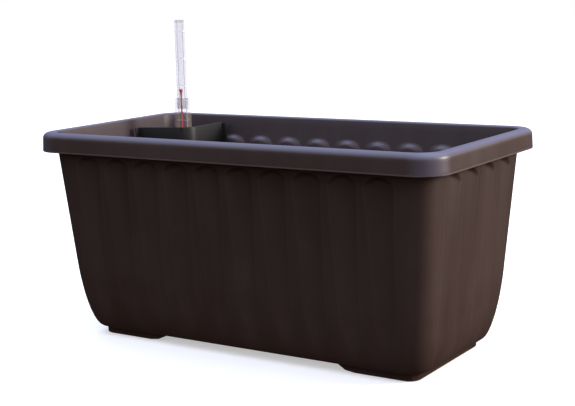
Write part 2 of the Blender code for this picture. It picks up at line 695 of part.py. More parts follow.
def build_shaft():
    bottom = DECK_TOP + TOUCH
    low = shaft_outline(bottom)
    high = shaft_outline(SHAFT_TOP)
    bend_start = SHAFT_SIDE_X - SHAFT_BEND_R
    bm = bmesh.new()
    rows = []
    for points, z in ((low, bottom), (high, SHAFT_TOP)):
        row = []
        for x, y in points:
            fall = 0.0
            if z == SHAFT_TOP and x < bend_start:
                fall = SHAFT_TOP_FALL * (bend_start - x) / (bend_start - high[0][0])
            row.append(bm.verts.new((x, y, z - fall)))
        rows.append(row)
    edges = []
    for row in rows:
        edges += [bm.edges.new(pair) for pair in zip(row, row[1:])]
    bmesh.ops.bridge_loops(bm, edges=edges)
    bmesh.ops.recalc_face_normals(bm, faces=bm.faces)
    outward = sum(f.normal.y for f in bm.faces if abs(f.normal.y) > 0.9)
    if outward > 0:
        bmesh.ops.reverse_faces(bm, faces=bm.faces)
    shaft = add_object("filler_shaft", bm, BLACK)
    shell = shaft.modifiers.new("wall", "SOLIDIFY")
    shell.thickness = SHAFT_WALL
    shell.offset = -1.0
    shell.use_even_offset = True
    dimple = cylinder(DIMPLE_HALF, -DIMPLE_DEPTH, 0.02, sides=16)
    bmesh.ops.transform(dimple, matrix=Matrix.Translation((DIMPLE_X, SHAFT_FRONT_Y, SHAFT_TOP)) @
                        Matrix.Rotation(math.pi / 2, 4, "X") @
                        Matrix.Diagonal((1.0, DIMPLE_DROP / DIMPLE_HALF, 1.0, 1.0)),
                        verts=dimple.verts)
    boolean(shaft, add_object("shaft_dimple", dimple))


# ---- float gauge --------------------------------------------------------------------
def gauge_box(length, width, bottom, top, dx=0.0):
    x0, x1, y0, y1 = frame_box((GAUGE_X + dx, GAUGE_Y), length, width)
    return (x0, y0, bottom), (x1, y1, top)


def chamfered(name, length, width, bottom, top, chamfer, mat):
    low, high = gauge_box(length, width, bottom, top)
    bm = rounded_block(low, high, chamfer, segments=2)
    return add_object(name, bm, mat, at=(GAUGE_X, GAUGE_Y, 0.0))


def build_chamber():
    bottom = FLOOR + TOUCH
    chamber = chamfered("float_chamber", CHAMBER_LENGTH, CHAMBER_WIDTH, bottom, CHAMBER_TOP,
                        CHAMBER_CHAMFER, BLACK)
    socket_length = SLEEVE_LENGTH + 2 * (TOUCH + CHAMBER_WALL)
    socket_width = SLEEVE_WIDTH + 2 * (TOUCH + CHAMBER_WALL)
    join_box(chamber, "sleeve_socket", *gauge_box(socket_length, socket_width,
                                                  CHAMBER_TOP - BITE,
                                                  CHAMBER_TOP + SOCKET_DEPTH))
    cut_box(chamber, "socket_hollow", *gauge_box(SLEEVE_LENGTH + 2 * TOUCH,
                                                 SLEEVE_WIDTH + 2 * TOUCH, CHAMBER_TOP,
                                                 CHAMBER_TOP + SOCKET_DEPTH + PAST))
    cut_box(chamber, "chamber_hollow", *gauge_box(CHAMBER_LENGTH - 2 * CHAMBER_WALL,
                                                  CHAMBER_WIDTH - 2 * CHAMBER_WALL,
                                                  bottom - PAST,
                                                  CHAMBER_TOP - CHAMBER_WALL))
    low, high = bottom + SLOTS_FOOT, DECK_RISE - SLOTS_HEAD
    cut_box(chamber, "chamber_slots_y", *gauge_box(CHAMBER_LENGTH * SLOTS_LONG,
                                                   CHAMBER_WIDTH + 2 * PAST, low, high))
    cut_box(chamber, "chamber_slots_x", *gauge_box(CHAMBER_LENGTH + 2 * PAST,
                                                   CHAMBER_WIDTH * SLOTS_SHORT, low, high))
    hole = cylinder(ROD_R + 2 * BORE_SLACK, CHAMBER_TOP - CHAMBER_WALL - PAST,
                    CHAMBER_TOP + PAST, (ROD_X, GAUGE_Y), sides=12)
    boolean(chamber, add_object("chamber_rod_hole", hole))


def build_sleeve():
    bottom = CHAMBER_TOP + TOUCH
    sleeve = chamfered("gauge_sleeve", SLEEVE_LENGTH, SLEEVE_WIDTH, bottom, SLEEVE_TOP,
                       SLEEVE_CHAMFER, CLEAR)
    cut_box(sleeve, "sleeve_hollow", *gauge_box(SLEEVE_LENGTH - 2 * SLEEVE_WALL,
                                                SLEEVE_WIDTH - 2 * SLEEVE_WALL,
                                                bottom - PAST, SLEEVE_TOP - SLEEVE_WALL))
    cut_box(sleeve, "sleeve_mouth", *gauge_box(TUBE_LENGTH + 2 * TOUCH,
                                               TUBE_WIDTH + 2 * TOUCH,
                                               SLEEVE_TOP - SLEEVE_WALL - PAST,
                                               SLEEVE_TOP + PAST))


def build_tube():
    bottom = SLEEVE_TOP - TUBE_IN_SLEEVE
    top = GAUGE_TOP - CAP_THICK - TOUCH
    tube = chamfered("gauge_tube", TUBE_LENGTH, TUBE_WIDTH, bottom, top, TUBE_CHAMFER,
                     CLEAR)
    for number, height in enumerate(MARKS_ABOVE_RIM, 1):
        z = TUB_HEIGHT + height
        low, high = gauge_box(TUBE_LENGTH + 2 * MARK_PROUD, TUBE_WIDTH + 2 * MARK_PROUD,
                              z - MARK_HEIGHT / 2, z + MARK_HEIGHT / 2)
        mark = rounded_block(low, high, TUBE_CHAMFER + MARK_PROUD, 2)
        boolean(tube, add_object("mark_%d" % number, mark), "UNION")
    cut_box(tube, "tube_hollow", *gauge_box(TUBE_LENGTH - 2 * TUBE_WALL,
                                            TUBE_WIDTH - 2 * TUBE_WALL,
                                            bottom - PAST, top + PAST))


def build_cap():
    cap = chamfered("gauge_cap", TUBE_LENGTH, TUBE_WIDTH, GAUGE_TOP - CAP_THICK, GAUGE_TOP,
                    TUBE_CHAMFER, CLEAR)
    shrink = 2 * (TUBE_WALL + TOUCH)
    join_box(cap, "cap_plug", *gauge_box(TUBE_LENGTH - shrink, TUBE_WIDTH - shrink,
                                         GAUGE_TOP - CAP_THICK - CAP_PLUG,
                                         GAUGE_TOP - CAP_THICK / 2))


def build_guide():
    """The tent-shaped rod guide inside the sleeve."""
    top = TUB_HEIGHT - GUIDE_BELOW_RIM
    length = SLEEVE_LENGTH - 2 * (SLEEVE_WALL + GUIDE_SLACK)
    width = SLEEVE_WIDTH - 2 * (SLEEVE_WALL + GUIDE_SLACK)
    low, high = gauge_box(length, width, top - GUIDE_PLATE, top)
    guide = add_object("rod_guide", block(low, high), CLEAR, at=(GAUGE_X, GAUGE_Y, 0.0))
    tent = block(*gauge_box(length - 2 * GUIDE_SHOULDER, width, top - GUIDE_PLATE / 2,
                            top + GUIDE_HEIGHT))
    crown = ROD_R + GUIDE_CROWN
    for vert in tent.verts:
        if vert.co.z > top:
            vert.co.x = ROD_X + math.copysign(crown, vert.co.x - GAUGE_X)
            vert.co.y = GAUGE_Y + math.copysign(crown, vert.co.y - GAUGE_Y)
    boolean(guide, add_object("guide_tent", tent), "UNION")
    hole = cylinder(ROD_R + BORE_SLACK, top - GUIDE_PLATE - PAST, top + GUIDE_HEIGHT + PAST,
                    (ROD_X, GAUGE_Y), sides=12)
    boolean(guide, add_object("guide_hole", hole))


# ---- float --------------------------------------------------------------------------
def build_float():
    at = (ROD_X, GAUGE_Y, 0.0)
    ball = TUB_HEIGHT + BALL_ABOVE_RIM
    profile = []
    for k in range(7):
        turn = math.radians(90 - k * 22)
        profile.append((BALL_R * math.cos(turn), ball + BALL_R * math.sin(turn)))
    foot = FLOAT_RISE - TOUCH
    profile[0] = (0.0, ball + BALL_R)
    profile += [(ROD_R, ball - BALL_R - BALL_CONE), (ROD_R, foot), (ROD_FOOT_R, foot),
                (ROD_FOOT_R, foot - ROD_FOOT), (0.0, foot - ROD_FOOT)]
    rod = turned("indicator_rod", profile, RED, at, steps=16)
    smooth(rod)

    length = CHAMBER_LENGTH - 2 * (CHAMBER_WALL + FLOAT_SLACK)
    width = CHAMBER_WIDTH - 2 * (CHAMBER_WALL + FLOAT_SLACK)
    low, high = gauge_box(length, width, FLOAT_RISE, FLOAT_RISE + FLOAT_HEIGHT)
    body = add_object("float_body", rounded_block(low, high, FLOAT_CORNER_R, 3), WHITE, at=at)
    bore = cylinder(ROD_R + BORE_SLACK, FLOAT_RISE - PAST, FLOAT_RISE + FLOAT_HEIGHT + PAST,
                    (ROD_X, GAUGE_Y), sides=12)
    boolean(body, add_object("float_bore", bore))

    clip_bottom = FLOAT_RISE + FLOAT_HEIGHT + TOUCH
    clip = turned("float_clip", ring_profile(ROD_R + BORE_SLACK, CLIP_R, clip_bottom,
                                             clip_bottom + CLIP_THICK), BLACK, at, steps=16)
    smooth(clip)


build_tub()
build_overflow()
build_false_floor()
build_legs()
build_baskets()
build_shaft()
build_chamber()
build_sleeve()
build_tube()
build_cap()
build_guide()
build_float()
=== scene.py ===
"""Looks of a self watering planter: fluted brown tub, black insert, clear float gauge.

Metres throughout, +Z up, +X along the tub's long side, origin under its middle.
"""
import logging
import math
from collections.abc import Callable
from dataclasses import dataclass, field
from enum import Enum

import bmesh
import bpy
from mathutils import Matrix, Vector


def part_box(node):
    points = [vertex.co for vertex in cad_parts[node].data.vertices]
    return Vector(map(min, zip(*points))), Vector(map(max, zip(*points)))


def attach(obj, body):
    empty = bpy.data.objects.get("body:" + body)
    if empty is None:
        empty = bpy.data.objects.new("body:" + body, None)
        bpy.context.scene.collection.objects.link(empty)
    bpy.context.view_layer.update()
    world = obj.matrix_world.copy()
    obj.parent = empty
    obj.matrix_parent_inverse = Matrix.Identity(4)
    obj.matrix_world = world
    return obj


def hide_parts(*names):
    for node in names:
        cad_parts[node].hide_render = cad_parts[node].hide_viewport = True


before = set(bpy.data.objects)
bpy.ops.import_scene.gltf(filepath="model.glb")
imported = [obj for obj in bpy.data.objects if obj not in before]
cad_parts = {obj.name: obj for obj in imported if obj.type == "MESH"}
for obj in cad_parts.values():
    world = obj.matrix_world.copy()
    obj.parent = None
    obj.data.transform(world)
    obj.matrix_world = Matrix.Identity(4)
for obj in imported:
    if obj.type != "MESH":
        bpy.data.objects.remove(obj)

LOG = logging.getLogger("planter")
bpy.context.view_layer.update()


# ---- shader graphs ------------------------------------------------------------------
class Sock:
    """A shader output that takes part in Python sums."""

    def __init__(self, graph: "Graph", out: bpy.types.NodeSocket) -> None:
        """Keep the graph that the output belongs to."""
        self.graph = graph
        self.out = out

    def _math(self, operation: str, first: object, second: object) -> "Sock":
        """Add a Math node and give its output."""
        node = self.graph.node("ShaderNodeMath", {"operation": operation},
                               {0: first, 1: second})
        return Sock(self.graph, node.outputs[0])

    def __add__(self, other: object) -> "Sock":
        """Sum."""
        return self._math("ADD", self, other)

    __radd__ = __add__

    def __mul__(self, other: object) -> "Sock":
        """Product."""
        return self._math("MULTIPLY", self, other)

    __rmul__ = __mul__

    def __sub__(self, other: object) -> "Sock":
        """Difference."""
        return self._math("SUBTRACT", self, other)

    def __rsub__(self, other: object) -> "Sock":
        """Reflected difference, so that 1 - mask works."""
        return self._math("SUBTRACT", other, self)

    def __abs__(self) -> "Sock":
        """Size without sign."""
        return self._math("ABSOLUTE", self, 0.0)

    def between(self, low: float, high: float) -> "Sock":
        """Rise smoothly from 0 at low to 1 at high."""
        node = self.graph.node("ShaderNodeMapRange", {"interpolation_type": "SMOOTHSTEP"},
                               {"Value": self, "From Min": low, "From Max": high})
        return Sock(self.graph, node.outputs[0])


class Graph:
    """The node tree of one material, with a Principled shader at its end."""

    def __init__(self, name: str, tree: bpy.types.NodeTree | None = None) -> None:
        """Start with an empty tree, of a new material unless one is given.

        Args:
            name: The material's name.
            tree: A world's tree, to work on that instead.
        """
        if tree is None:
            self.material = bpy.data.materials.new(name)
            self.material.use_nodes = True
            tree = self.material.node_tree
            tree.nodes.clear()
            self.tree = tree
            self.output = self.node("ShaderNodeOutputMaterial")
            self.coords = self.node("ShaderNodeTexCoord").outputs["Object"]
        else:
            tree.nodes.clear()
            self.tree = tree
            self.output = self.node("ShaderNodeOutputWorld")

    def node(self, kind: str, settings: dict | None = None,
             inputs: dict | None = None) -> bpy.types.Node:
        """Add a node of any type.

        Args:
            kind: The node's type name.
            settings: Its properties, which are set first.
            inputs: Values or links, by socket name or number.

        Returns:
            The new node.
        """
        made = self.tree.nodes.new(kind)
        for key, value in (settings or {}).items():
            setattr(made, key, value)
        for key, value in (inputs or {}).items():
            if isinstance(value, Sock):
                value = value.out
            if isinstance(value, bpy.types.NodeSocket):
                self.tree.links.new(value, made.inputs[key])
            else:
                made.inputs[key].default_value = value
        return made

    def noise(self, scale: float, stretch: tuple = (1.0, 1.0, 1.0), detail: float = 3.0,
              rough: float = 0.5) -> Sock:
        """Give a noise pattern.

        Args:
            scale: Cells per metre.
            stretch: Factor on each axis.
            detail: Octaves of the noise.
            rough: Weight of the finer octaves.

        Returns:
            The pattern's value, 0 to 1.
        """
        place = self.node("ShaderNodeMapping", None,
                          {"Vector": self.coords, "Scale": stretch})
        made = self.node("ShaderNodeTexNoise", None,
                         {"Vector": place.outputs[0], "Scale": scale, "Detail": detail,
                          "Roughness": rough})
        return Sock(self, made.outputs["Fac"])

    def specks(self, scale: float, size: float) -> Sock:
        """Give sparse round specks, in about one cell of ten.

        Args:
            scale: Cells per metre.
            size: Radius of a speck, in cells.

        Returns:
            1 inside a speck and 0 elsewhere.
        """
        cells = self.node("ShaderNodeTexVoronoi", None,
                          {"Vector": self.coords, "Scale": scale})
        chosen = self.node("ShaderNodeSeparateColor", None, {0: cells.outputs["Color"]})
        rare = Sock(self, chosen.outputs[0]).between(0.90, 0.91)
        outside = Sock(self, cells.outputs["Distance"]).between(size * 0.5, size)
        return (1.0 - outside) * rare

    def mix(self, share: Sock, first: tuple | Sock, second: tuple | Sock) -> Sock:
        """Blend two colours by a share."""
        made = self.node("ShaderNodeMix", {"data_type": "RGBA"},
                         {0: share, 6: first, 7: second})
        return Sock(self, made.outputs[2])

    def tint(self, share: Sock, colour: tuple) -> Sock:
        """Scale a colour by a share."""
        made = self.node("ShaderNodeVectorMath", {"operation": "SCALE"},
                         {0: colour, "Scale": share})
        return Sock(self, made.outputs[0])

    def add(self, first: Sock, second: Sock) -> Sock:
        """Add two colours."""
        made = self.node("ShaderNodeVectorMath", {"operation": "ADD"},
                         {0: first, 1: second})
        return Sock(self, made.outputs[0])

    def bump(self, height: Sock, depth: float) -> Sock:
        """Turn a height, 0 to 1, into a normal; depth is its relief in metres."""
        made = self.node("ShaderNodeBump", None, {"Strength": 1.0, "Distance": depth,
                                                  "Height": height})
        return Sock(self, made.outputs[0])

    def edges(self, low: float, high: float) -> Sock:
        """Mark convex edges, from the surface's own pointiness."""
        shape = self.node("ShaderNodeNewGeometry").outputs["Pointiness"]
        return Sock(self, shape).between(low, high)

    def part(self, vector: bpy.types.NodeSocket, axis: int) -> Sock:
        """Give one part of a vector."""
        return Sock(self, self.node("ShaderNodeSeparateXYZ", None,
                                    {0: vector}).outputs[axis])

    def facing_up(self) -> Sock:
        """Give the upward part of the surface's direction."""
        return self.part(self.node("ShaderNodeNewGeometry").outputs["Normal"], 2)

    def height(self) -> Sock:
        """Give the height above the ground."""
        return self.part(self.coords, 2)

    def away(self, axis: int, middle: float = 0.0) -> Sock:
        """Give the distance from a plane across X or Y."""
        return abs(self.part(self.coords, axis) - middle)

    def most(self, first: Sock, second: Sock) -> Sock:
        """Give the larger of two values."""
        return Sock(self, self.node("ShaderNodeMath", {"operation": "MAXIMUM"},
                                    {0: first, 1: second}).outputs[0])

    def finish(self, inputs: dict) -> bpy.types.Material:
        """End the tree in a Principled shader.

        Args:
            inputs: Values or links of the shader's sockets.

        Returns:
            The finished material.
        """
        shader = self.node("ShaderNodeBsdfPrincipled", None, inputs)
        self.tree.links.new(shader.outputs[0], self.output.inputs["Surface"])
        return self.material


def rgb(red: float, green: float, blue: float) -> tuple:
    """Give a colour with full alpha."""
    return (red, green, blue, 1.0)


@dataclass(frozen=True)
class MouldedPlastic:
    """Opaque moulded plastic with a fine satin grain, flow streaks and dust.

    The painted sheen is a painted sky reflection: faces turned up are painted lighter
    and bluer. The lip gives the heights of a band at the foot of the rim's skirt that is
    painted lighter, a painted highlight of the light line along that edge, and the rim's
    corners get a painted highlight from just under the band upwards.
    """

    name: str
    colour: tuple
    streak: tuple
    dust_and_highlight: tuple
    roughness: float
    specular: float = 0.5
    grain: float = 0.00004
    dust_share: float = 0.06
    edge_wear_and_highlight_share: float = 0.42
    speck_share: float = 0.45
    painted_sheen: tuple = (0.13, 0.135, 0.22, 1.0)
    painted_sheen_share: float = 0.0
    lip: tuple = ()
    skirt_edge_highlight_share: float = 0.5
    corner_x: tuple = (0.258, 0.286)
    corner_y: tuple = (0.110, 0.138)
    corner_highlight_share: float = 0.30

    def tone(self, g: Graph, cloud: Sock) -> Sock:
        """Give the colour with its flow streaks, dust, pale edges and specks; the pale
        edges are partly edge wear and partly a painted highlight.

        Args:
            g: The material's graph.
            cloud: A broad patchy value.

        Returns:
            The colour.
        """
        flow = g.noise(34.0, (1.0, 1.0, 0.09), 3.0).between(0.36, 0.68)
        colour = g.mix(flow * 0.6 + cloud * 0.4, self.colour, self.streak)
        settled = g.noise(26.0, detail=6.0, rough=0.65).between(0.52, 0.80)
        # Convex edges are painted paler, toward the pale colour: partly edge wear, partly a
        # painted highlight of the light lines along them.
        return g.mix(settled * self.dust_share + g.edges(0.505, 0.545) * self.edge_wear_and_highlight_share
                     + g.specks(70.0, 0.045) * self.speck_share, colour, self.dust_and_highlight)

    def paint_rim_highlights(self, g: Graph, colour: Sock) -> Sock:
        """Paint a highlight along the foot of the rim's skirt and on the rim's corners.

        Args:
            g: The material's graph.
            colour: The colour so far.

        Returns:
            The colour with the painted highlights.
        """
        low, high = self.lip
        height = g.height()
        # Painted highlight: a band at the foot of the skirt, mixed toward the pale colour,
        # for the light line along that edge.
        worn = height.between(low, low + 0.0004) \
            * (1.0 - height.between(high, high + 0.001))
        colour = g.mix(worn * self.skirt_edge_highlight_share, colour, self.dust_and_highlight)
        # Painted highlight on the rim's four corners, in the sheen colour.
        corner_highlight = g.away(0).between(*self.corner_x) * g.away(1).between(*self.corner_y) \
            * height.between(low - 0.001, low)
        return g.mix(corner_highlight * self.corner_highlight_share, colour, self.painted_sheen)

    def build(self) -> bpy.types.Material:
        """Make the material.

        Returns:
            The new material.
        """
        g = Graph(self.name)
        cloud = g.noise(7.0, detail=2.0).between(0.3, 0.7)
        colour = self.tone(g, cloud)
        if self.painted_sheen_share:
            # Painted sheen: faces turned up are painted lighter and bluer, for the sky's
            # reflection on the rim's top.
            colour = g.mix(g.facing_up().between(0.15, 0.90) * self.painted_sheen_share, colour,
                           self.painted_sheen)
        if self.lip:
            colour = self.paint_rim_highlights(g, colour)
        fine = g.noise(900.0, detail=2.0)
        rough = fine * 0.10 + cloud * 0.06 + (self.roughness - 0.08)
        return g.finish({"Base Color": colour, "Roughness": rough,
                         "Specular IOR Level": self.specular,
                         "Normal": g.bump(fine * 0.7 + g.noise(330.0) * 0.6, self.grain)})


@dataclass(frozen=True)
class ClearPlastic:
    """Thin clear plastic: see-through face on, denser and greyer where seen edge on.

    The node is the pipe whose upright corners get thin painted lines in the edge-on
    colour, which start and end at the two depths of the line.
    """

    name: str
    colour: tuple
    edge_on_painted_colour: tuple
    face_alpha: float
    edge_alpha: float
    roughness: float = 0.10
    # Emission strength: a painted glow, the piece lit though it is no lamp.
    painted_glow: float = 0.0
    node: str = ""
    line: tuple = (0.0013, 0.0007)
    painted_line_share: float = 0.75
    patch: float = 0.05

    def corners(self, g: Graph) -> Sock:
        """Mark the upright corners of the node's pipe, where the painted lines go.

        Args:
            g: The material's graph.

        Returns:
            1 on the corners and 0 on the faces between them.
        """
        low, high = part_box(self.node)
        near = []
        for axis in (0, 1):
            half = (high[axis] - low[axis]) / 2
            near.append(g.away(axis, (low[axis] + high[axis]) / 2).between(
                half - self.line[0], half - self.line[1]))
        return near[0] * near[1]

    def build(self) -> bpy.types.Material:
        """Make the material.

        Returns:
            The new material.
        """
        g = Graph(self.name)
        facing = g.node("ShaderNodeLayerWeight", None, {"Blend": 0.5}).outputs["Facing"]
        # Parts seen edge on get denser and take the edge-on colour: partly the longer path
        # through the plastic, partly painted shade and reflection.
        rim = Sock(g, facing).between(0.62, 0.98)
        if self.node:
            rim = g.most(rim, self.corners(g) * self.painted_line_share)
        cloud = g.noise(60.0, (1.0, 1.0, 0.2), 2.0)
        alpha = rim * (self.edge_alpha - self.face_alpha) + cloud * self.patch \
            + (self.face_alpha - self.patch / 2)
        dull = tuple(0.92 * part for part in self.colour[:3]) + (1.0,)
        colour = g.mix(rim, g.mix(cloud, self.colour, dull), self.edge_on_painted_colour)
        return g.finish({"Base Color": colour, "Alpha": alpha, "IOR": 1.49,
                         "Specular IOR Level": 0.08,
                         "Roughness": cloud * 0.08 + self.roughness,
                         # Emission makes the piece glow: painted light.
                         "Emission Color": self.colour, "Emission Strength": self.painted_glow,
                         "Normal": g.bump(g.noise(240.0, (1.0, 1.0, 0.3)), 0.00002)})


@dataclass(frozen=True)
class SolidPlastic:
    """Small opaque pieces: an even colour with a little wear in it."""

    name: str
    colour: tuple
    worn: tuple
    roughness: float
    grain: float
    scale: float = 500.0

    def build(self) -> bpy.types.Material:
        """Make the material.

        Returns:
            The new material.
        """
        g = Graph(self.name)
        patch = g.noise(90.0, detail=4.0).between(0.35, 0.75)
        fine = g.noise(self.scale, detail=3.0)
        colour = g.mix(patch * 0.7 + fine * 0.3, self.colour, self.worn)
        return g.finish({"Base Color": colour,
                         "Roughness": fine * 0.12 + (self.roughness - 0.06),
                         "Normal": g.bump(fine, self.grain)})


class Finish(Enum):
    """The finishes of this planter."""

    BROWN = "brown_plastic"
    # A lighter, purpler copy of the brown for the tub's inside: painted light from above.
    INNER = "brown_inside_painted_light"
    BLACK = "black_plastic"
    CLEAR = "clear_plastic"
    RED = "red_plastic"
    FOAM = "white_foam"
    RUBBER = "seal_rubber"
    MILKY = "clear_milky"
    MARK = "mark_edges"

    @property
    def slot(self) -> str:
        """Give the material slot, which some finishes share."""
        return {Finish.MARK: "clear_plastic", Finish.MILKY: "clear_plastic",
                Finish.INNER: "brown_plastic"}.get(self, self.value)


RECIPES = {
    Finish.BROWN: MouldedPlastic("brown_moulded", rgb(0.034, 0.0195, 0.0165),
                                 rgb(0.043, 0.026, 0.0225), rgb(0.14, 0.11, 0.10), 0.44,
                                 painted_sheen_share=0.56, lip=(0.2557, 0.2574)),
    # Painted light: the inside's brown is lighter and purpler than the outside's, for the
    # skylight that falls in.
    Finish.INNER: MouldedPlastic("brown_moulded_inside_painted_light", rgb(0.041, 0.028, 0.033),
                                 rgb(0.050, 0.035, 0.041), rgb(0.13, 0.10, 0.12), 0.52),
    Finish.BLACK: MouldedPlastic("black_moulded", rgb(0.0055, 0.0055, 0.0060),
                                 rgb(0.0085, 0.0085, 0.0085), rgb(0.07, 0.07, 0.068), 0.50,
                                 0.25, dust_share=0.03, edge_wear_and_highlight_share=0.15),
    Finish.CLEAR: ClearPlastic("clear_moulded", rgb(0.40, 0.31, 0.22),
                               rgb(0.09, 0.09, 0.10), 0.16, 0.80, node="gauge_tube"),
    Finish.MILKY: ClearPlastic("clear_milky", rgb(0.42, 0.34, 0.28), rgb(0.30, 0.34, 0.44),
                               0.13, 0.80, node="gauge_sleeve"),
    # Painted light: the marks glow in a bluish white, emission 0.45, so that they show as
    # bright lines.
    Finish.MARK: ClearPlastic("clear_mark_edges_painted_glow", rgb(0.86, 0.90, 1.0),
                              rgb(0.80, 0.86, 1.0), 0.45, 0.80, 0.2, 0.45),
    Finish.RED: SolidPlastic("red_moulded", rgb(0.85, 0.018, 0.070), rgb(0.75, 0.018, 0.06),
                             0.28, 0.00001),
    Finish.FOAM: SolidPlastic("foam_cells", rgb(0.78, 0.77, 0.73), rgb(0.70, 0.68, 0.63),
                              0.75, 0.0002, 900.0),
    Finish.RUBBER: SolidPlastic("rubber_matt", rgb(0.020, 0.020, 0.020),
                                rgb(0.035, 0.033, 0.032), 0.80, 0.00005),
}


class Finishes:
    """Makes each finish once and puts it on pieces."""

    def __init__(self) -> None:
        """Start with none made."""
        self.made: dict = {}

    def material(self, finish: Finish) -> bpy.types.Material:
        """Give a finish's material, made at its first use."""
        if finish not in self.made:
            self.made[finish] = RECIPES[finish].build()
        return self.made[finish]

    def dress(self, piece: bpy.types.Object, finish: Finish) -> None:
        """Give a piece one finish all over.

        Args:
            piece: The piece.
            finish: Its finish.
        """
        if not piece.material_slots:
            piece.data.materials.append(None)
        for holder in piece.material_slots:
            holder.material = self.material(finish)

    def line(self, piece: bpy.types.Object, finish: Finish, test: Callable) -> None:
        """Give some faces of a dressed piece a second finish.

        Args:
            piece: The piece.
            finish: The second finish.
            test: Says whether a face takes it.
        """
        piece.data.materials.append(self.material(finish))
        for face in piece.data.polygons:
            if test(face):
                face.material_index = len(piece.data.materials) - 1


# ---- modelling by hand --------------------------------------------------------------
class Bench:
    """Edit-mode work on one new mesh at a time, with the usual operators."""

    @staticmethod
    def clear() -> None:
        """Leave edit mode and deselect everything."""
        if bpy.context.object and bpy.context.object.mode != "OBJECT":
            bpy.ops.object.mode_set(mode="OBJECT")
        bpy.ops.object.select_all(action="DESELECT")

    @classmethod
    def take(cls, piece: bpy.types.Object) -> None:
        """Select one object alone and make it the active one.

        Args:
            piece: The object.
        """
        cls.clear()
        piece.select_set(True)
        bpy.context.view_layer.objects.active = piece

    @staticmethod
    def name(name: str) -> bpy.types.Object:
        """Name the object just added, and put its place into its mesh.

        Args:
            name: The piece's name.

        Returns:
            The object.
        """
        piece = bpy.context.object
        piece.name = piece.data.name = name
        bpy.ops.object.transform_apply(location=True, rotation=True, scale=True)
        return piece

    @classmethod
    def block(cls, name: str, low: Vector, high: Vector) -> bpy.types.Object:
        """Add a cube between two corners.

        Args:
            name: The piece's name.
            low: Its lowest corner.
            high: Its highest corner.

        Returns:
            The new object.
        """
        cls.clear()
        low, high = Vector(low), Vector(high)
        bpy.ops.mesh.primitive_cube_add(size=1.0, location=(low + high) / 2)
        bpy.context.object.scale = high - low
        return cls.name(name)

    @classmethod
    def rod(cls, name: str, radius: float, low: Vector, high: Vector,
            sides: int = 48) -> bpy.types.Object:
        """Add a cylinder between two points.

        Args:
            name: The piece's name.
            radius: Its radius.
            low: Middle of its first end.
            high: Middle of its second end.
            sides: Number of its flat sides.

        Returns:
            The new object.
        """
        cls.clear()
        low, high = Vector(low), Vector(high)
        along = high - low
        bpy.ops.mesh.primitive_cylinder_add(vertices=sides, radius=radius,
                                            depth=along.length, location=(low + high) / 2)
        bpy.context.object.rotation_euler = along.to_track_quat("Z", "Y").to_euler()
        return cls.name(name)

    @classmethod
    def grid(cls, name: str, columns: int, rows: int, spot: Callable) -> bpy.types.Object:
        """Add a grid and lay each of its corners at spot(column, row).

        Args:
            name: The piece's name.
            columns: Faces across.
            rows: Faces up.
            spot: Gives a corner's place from its column and row.

        Returns:
            The new object.
        """
        cls.clear()
        bpy.ops.mesh.primitive_grid_add(x_subdivisions=columns, y_subdivisions=rows,
                                        size=1.0)
        piece = cls.name(name)
        places = []
        for row in range(rows + 1):
            for column in range(columns + 1):
                places.extend(spot(column, row))
        piece.data.vertices.foreach_set("co", places)
        piece.data.update()
        return piece

    @classmethod
    def spun(cls, name: str, profile: list, at: tuple, steps: int = 48) -> bpy.types.Object:
        """Spin a profile of (radius, height) about an upright axis.

        Args:
            name: The piece's name.
            profile: Corners from the axis, outwards, down and back to the axis.
            at: X and Y of the axis.
            steps: Sides of the turned form.

        Returns:
            The new object, closed and facing outwards.
        """
        cls.clear()
        bpy.ops.mesh.primitive_circle_add(vertices=len(profile), radius=1.0)
        piece = cls.name(name)
        mesh = bmesh.new()
        corners = [mesh.verts.new((at[0] + r, at[1], z)) for r, z in profile]
        for first, second in zip(corners, corners[1:]):
            mesh.edges.new((first, second))
        mesh.to_mesh(piece.data)
        mesh.free()
        bpy.ops.object.mode_set(mode="EDIT")
        bpy.ops.mesh.select_all(action="SELECT")
        bpy.ops.mesh.spin(steps=steps, angle=2 * math.pi, center=(at[0], at[1], 0.0),
                          axis=(0.0, 0.0, 1.0))
        bpy.ops.mesh.select_all(action="SELECT")
        bpy.ops.mesh.remove_doubles(threshold=1e-6)
        bpy.ops.mesh.normals_make_consistent(inside=False)
        bpy.ops.object.mode_set(mode="OBJECT")
        return piece

    @staticmethod
    def pick(piece: bpy.types.Object, kind: str, test: Callable) -> None:
        """Select a mesh's faces or edges by a test, ready for edit mode.

        Args:
            piece: The object, active and in object mode.
            kind: "FACE" or "EDGE".
            test: Says whether to take a face or an edge, given the mesh and it.
        """
        bpy.ops.object.mode_set(mode="EDIT")
        bpy.ops.mesh.select_mode(type=kind)
        bpy.ops.mesh.select_all(action="DESELECT")
        bpy.ops.object.mode_set(mode="OBJECT")
        mesh = piece.data
        for item in mesh.polygons if kind == "FACE" else mesh.edges:
            item.select = test(mesh, item)
        bpy.ops.object.mode_set(mode="EDIT")

    @classmethod
    def apply(cls, piece: bpy.types.Object, kind: str, **settings: object) -> None:
        """Add a modifier, set it up and apply it.

        Args:
            piece: The object.
            kind: The modifier's type.
            **settings: The modifier's properties.
        """
        cls.take(piece)
        modifier = piece.modifiers.new(kind.lower(), kind)
        for key, value in settings.items():
            setattr(modifier, key, value)
        bpy.ops.object.modifier_apply(modifier=modifier.name)

    @classmethod
    def round_edges(cls, piece: bpy.types.Object, width: float, segments: int = 2,
                    angle: float = 40.0) -> None:
        """Round the edges sharper than an angle."""
        cls.apply(piece, "BEVEL", width=width, segments=segments, limit_method="ANGLE",
                  angle_limit=math.radians(angle), harden_normals=False)

    @classmethod
    def smooth(cls, piece: bpy.types.Object, angle: float = 45.0) -> None:
        """Shade smooth, with edges sharper than an angle kept crisp."""
        cls.take(piece)
        bpy.ops.object.shade_smooth_by_angle(angle=math.radians(angle))

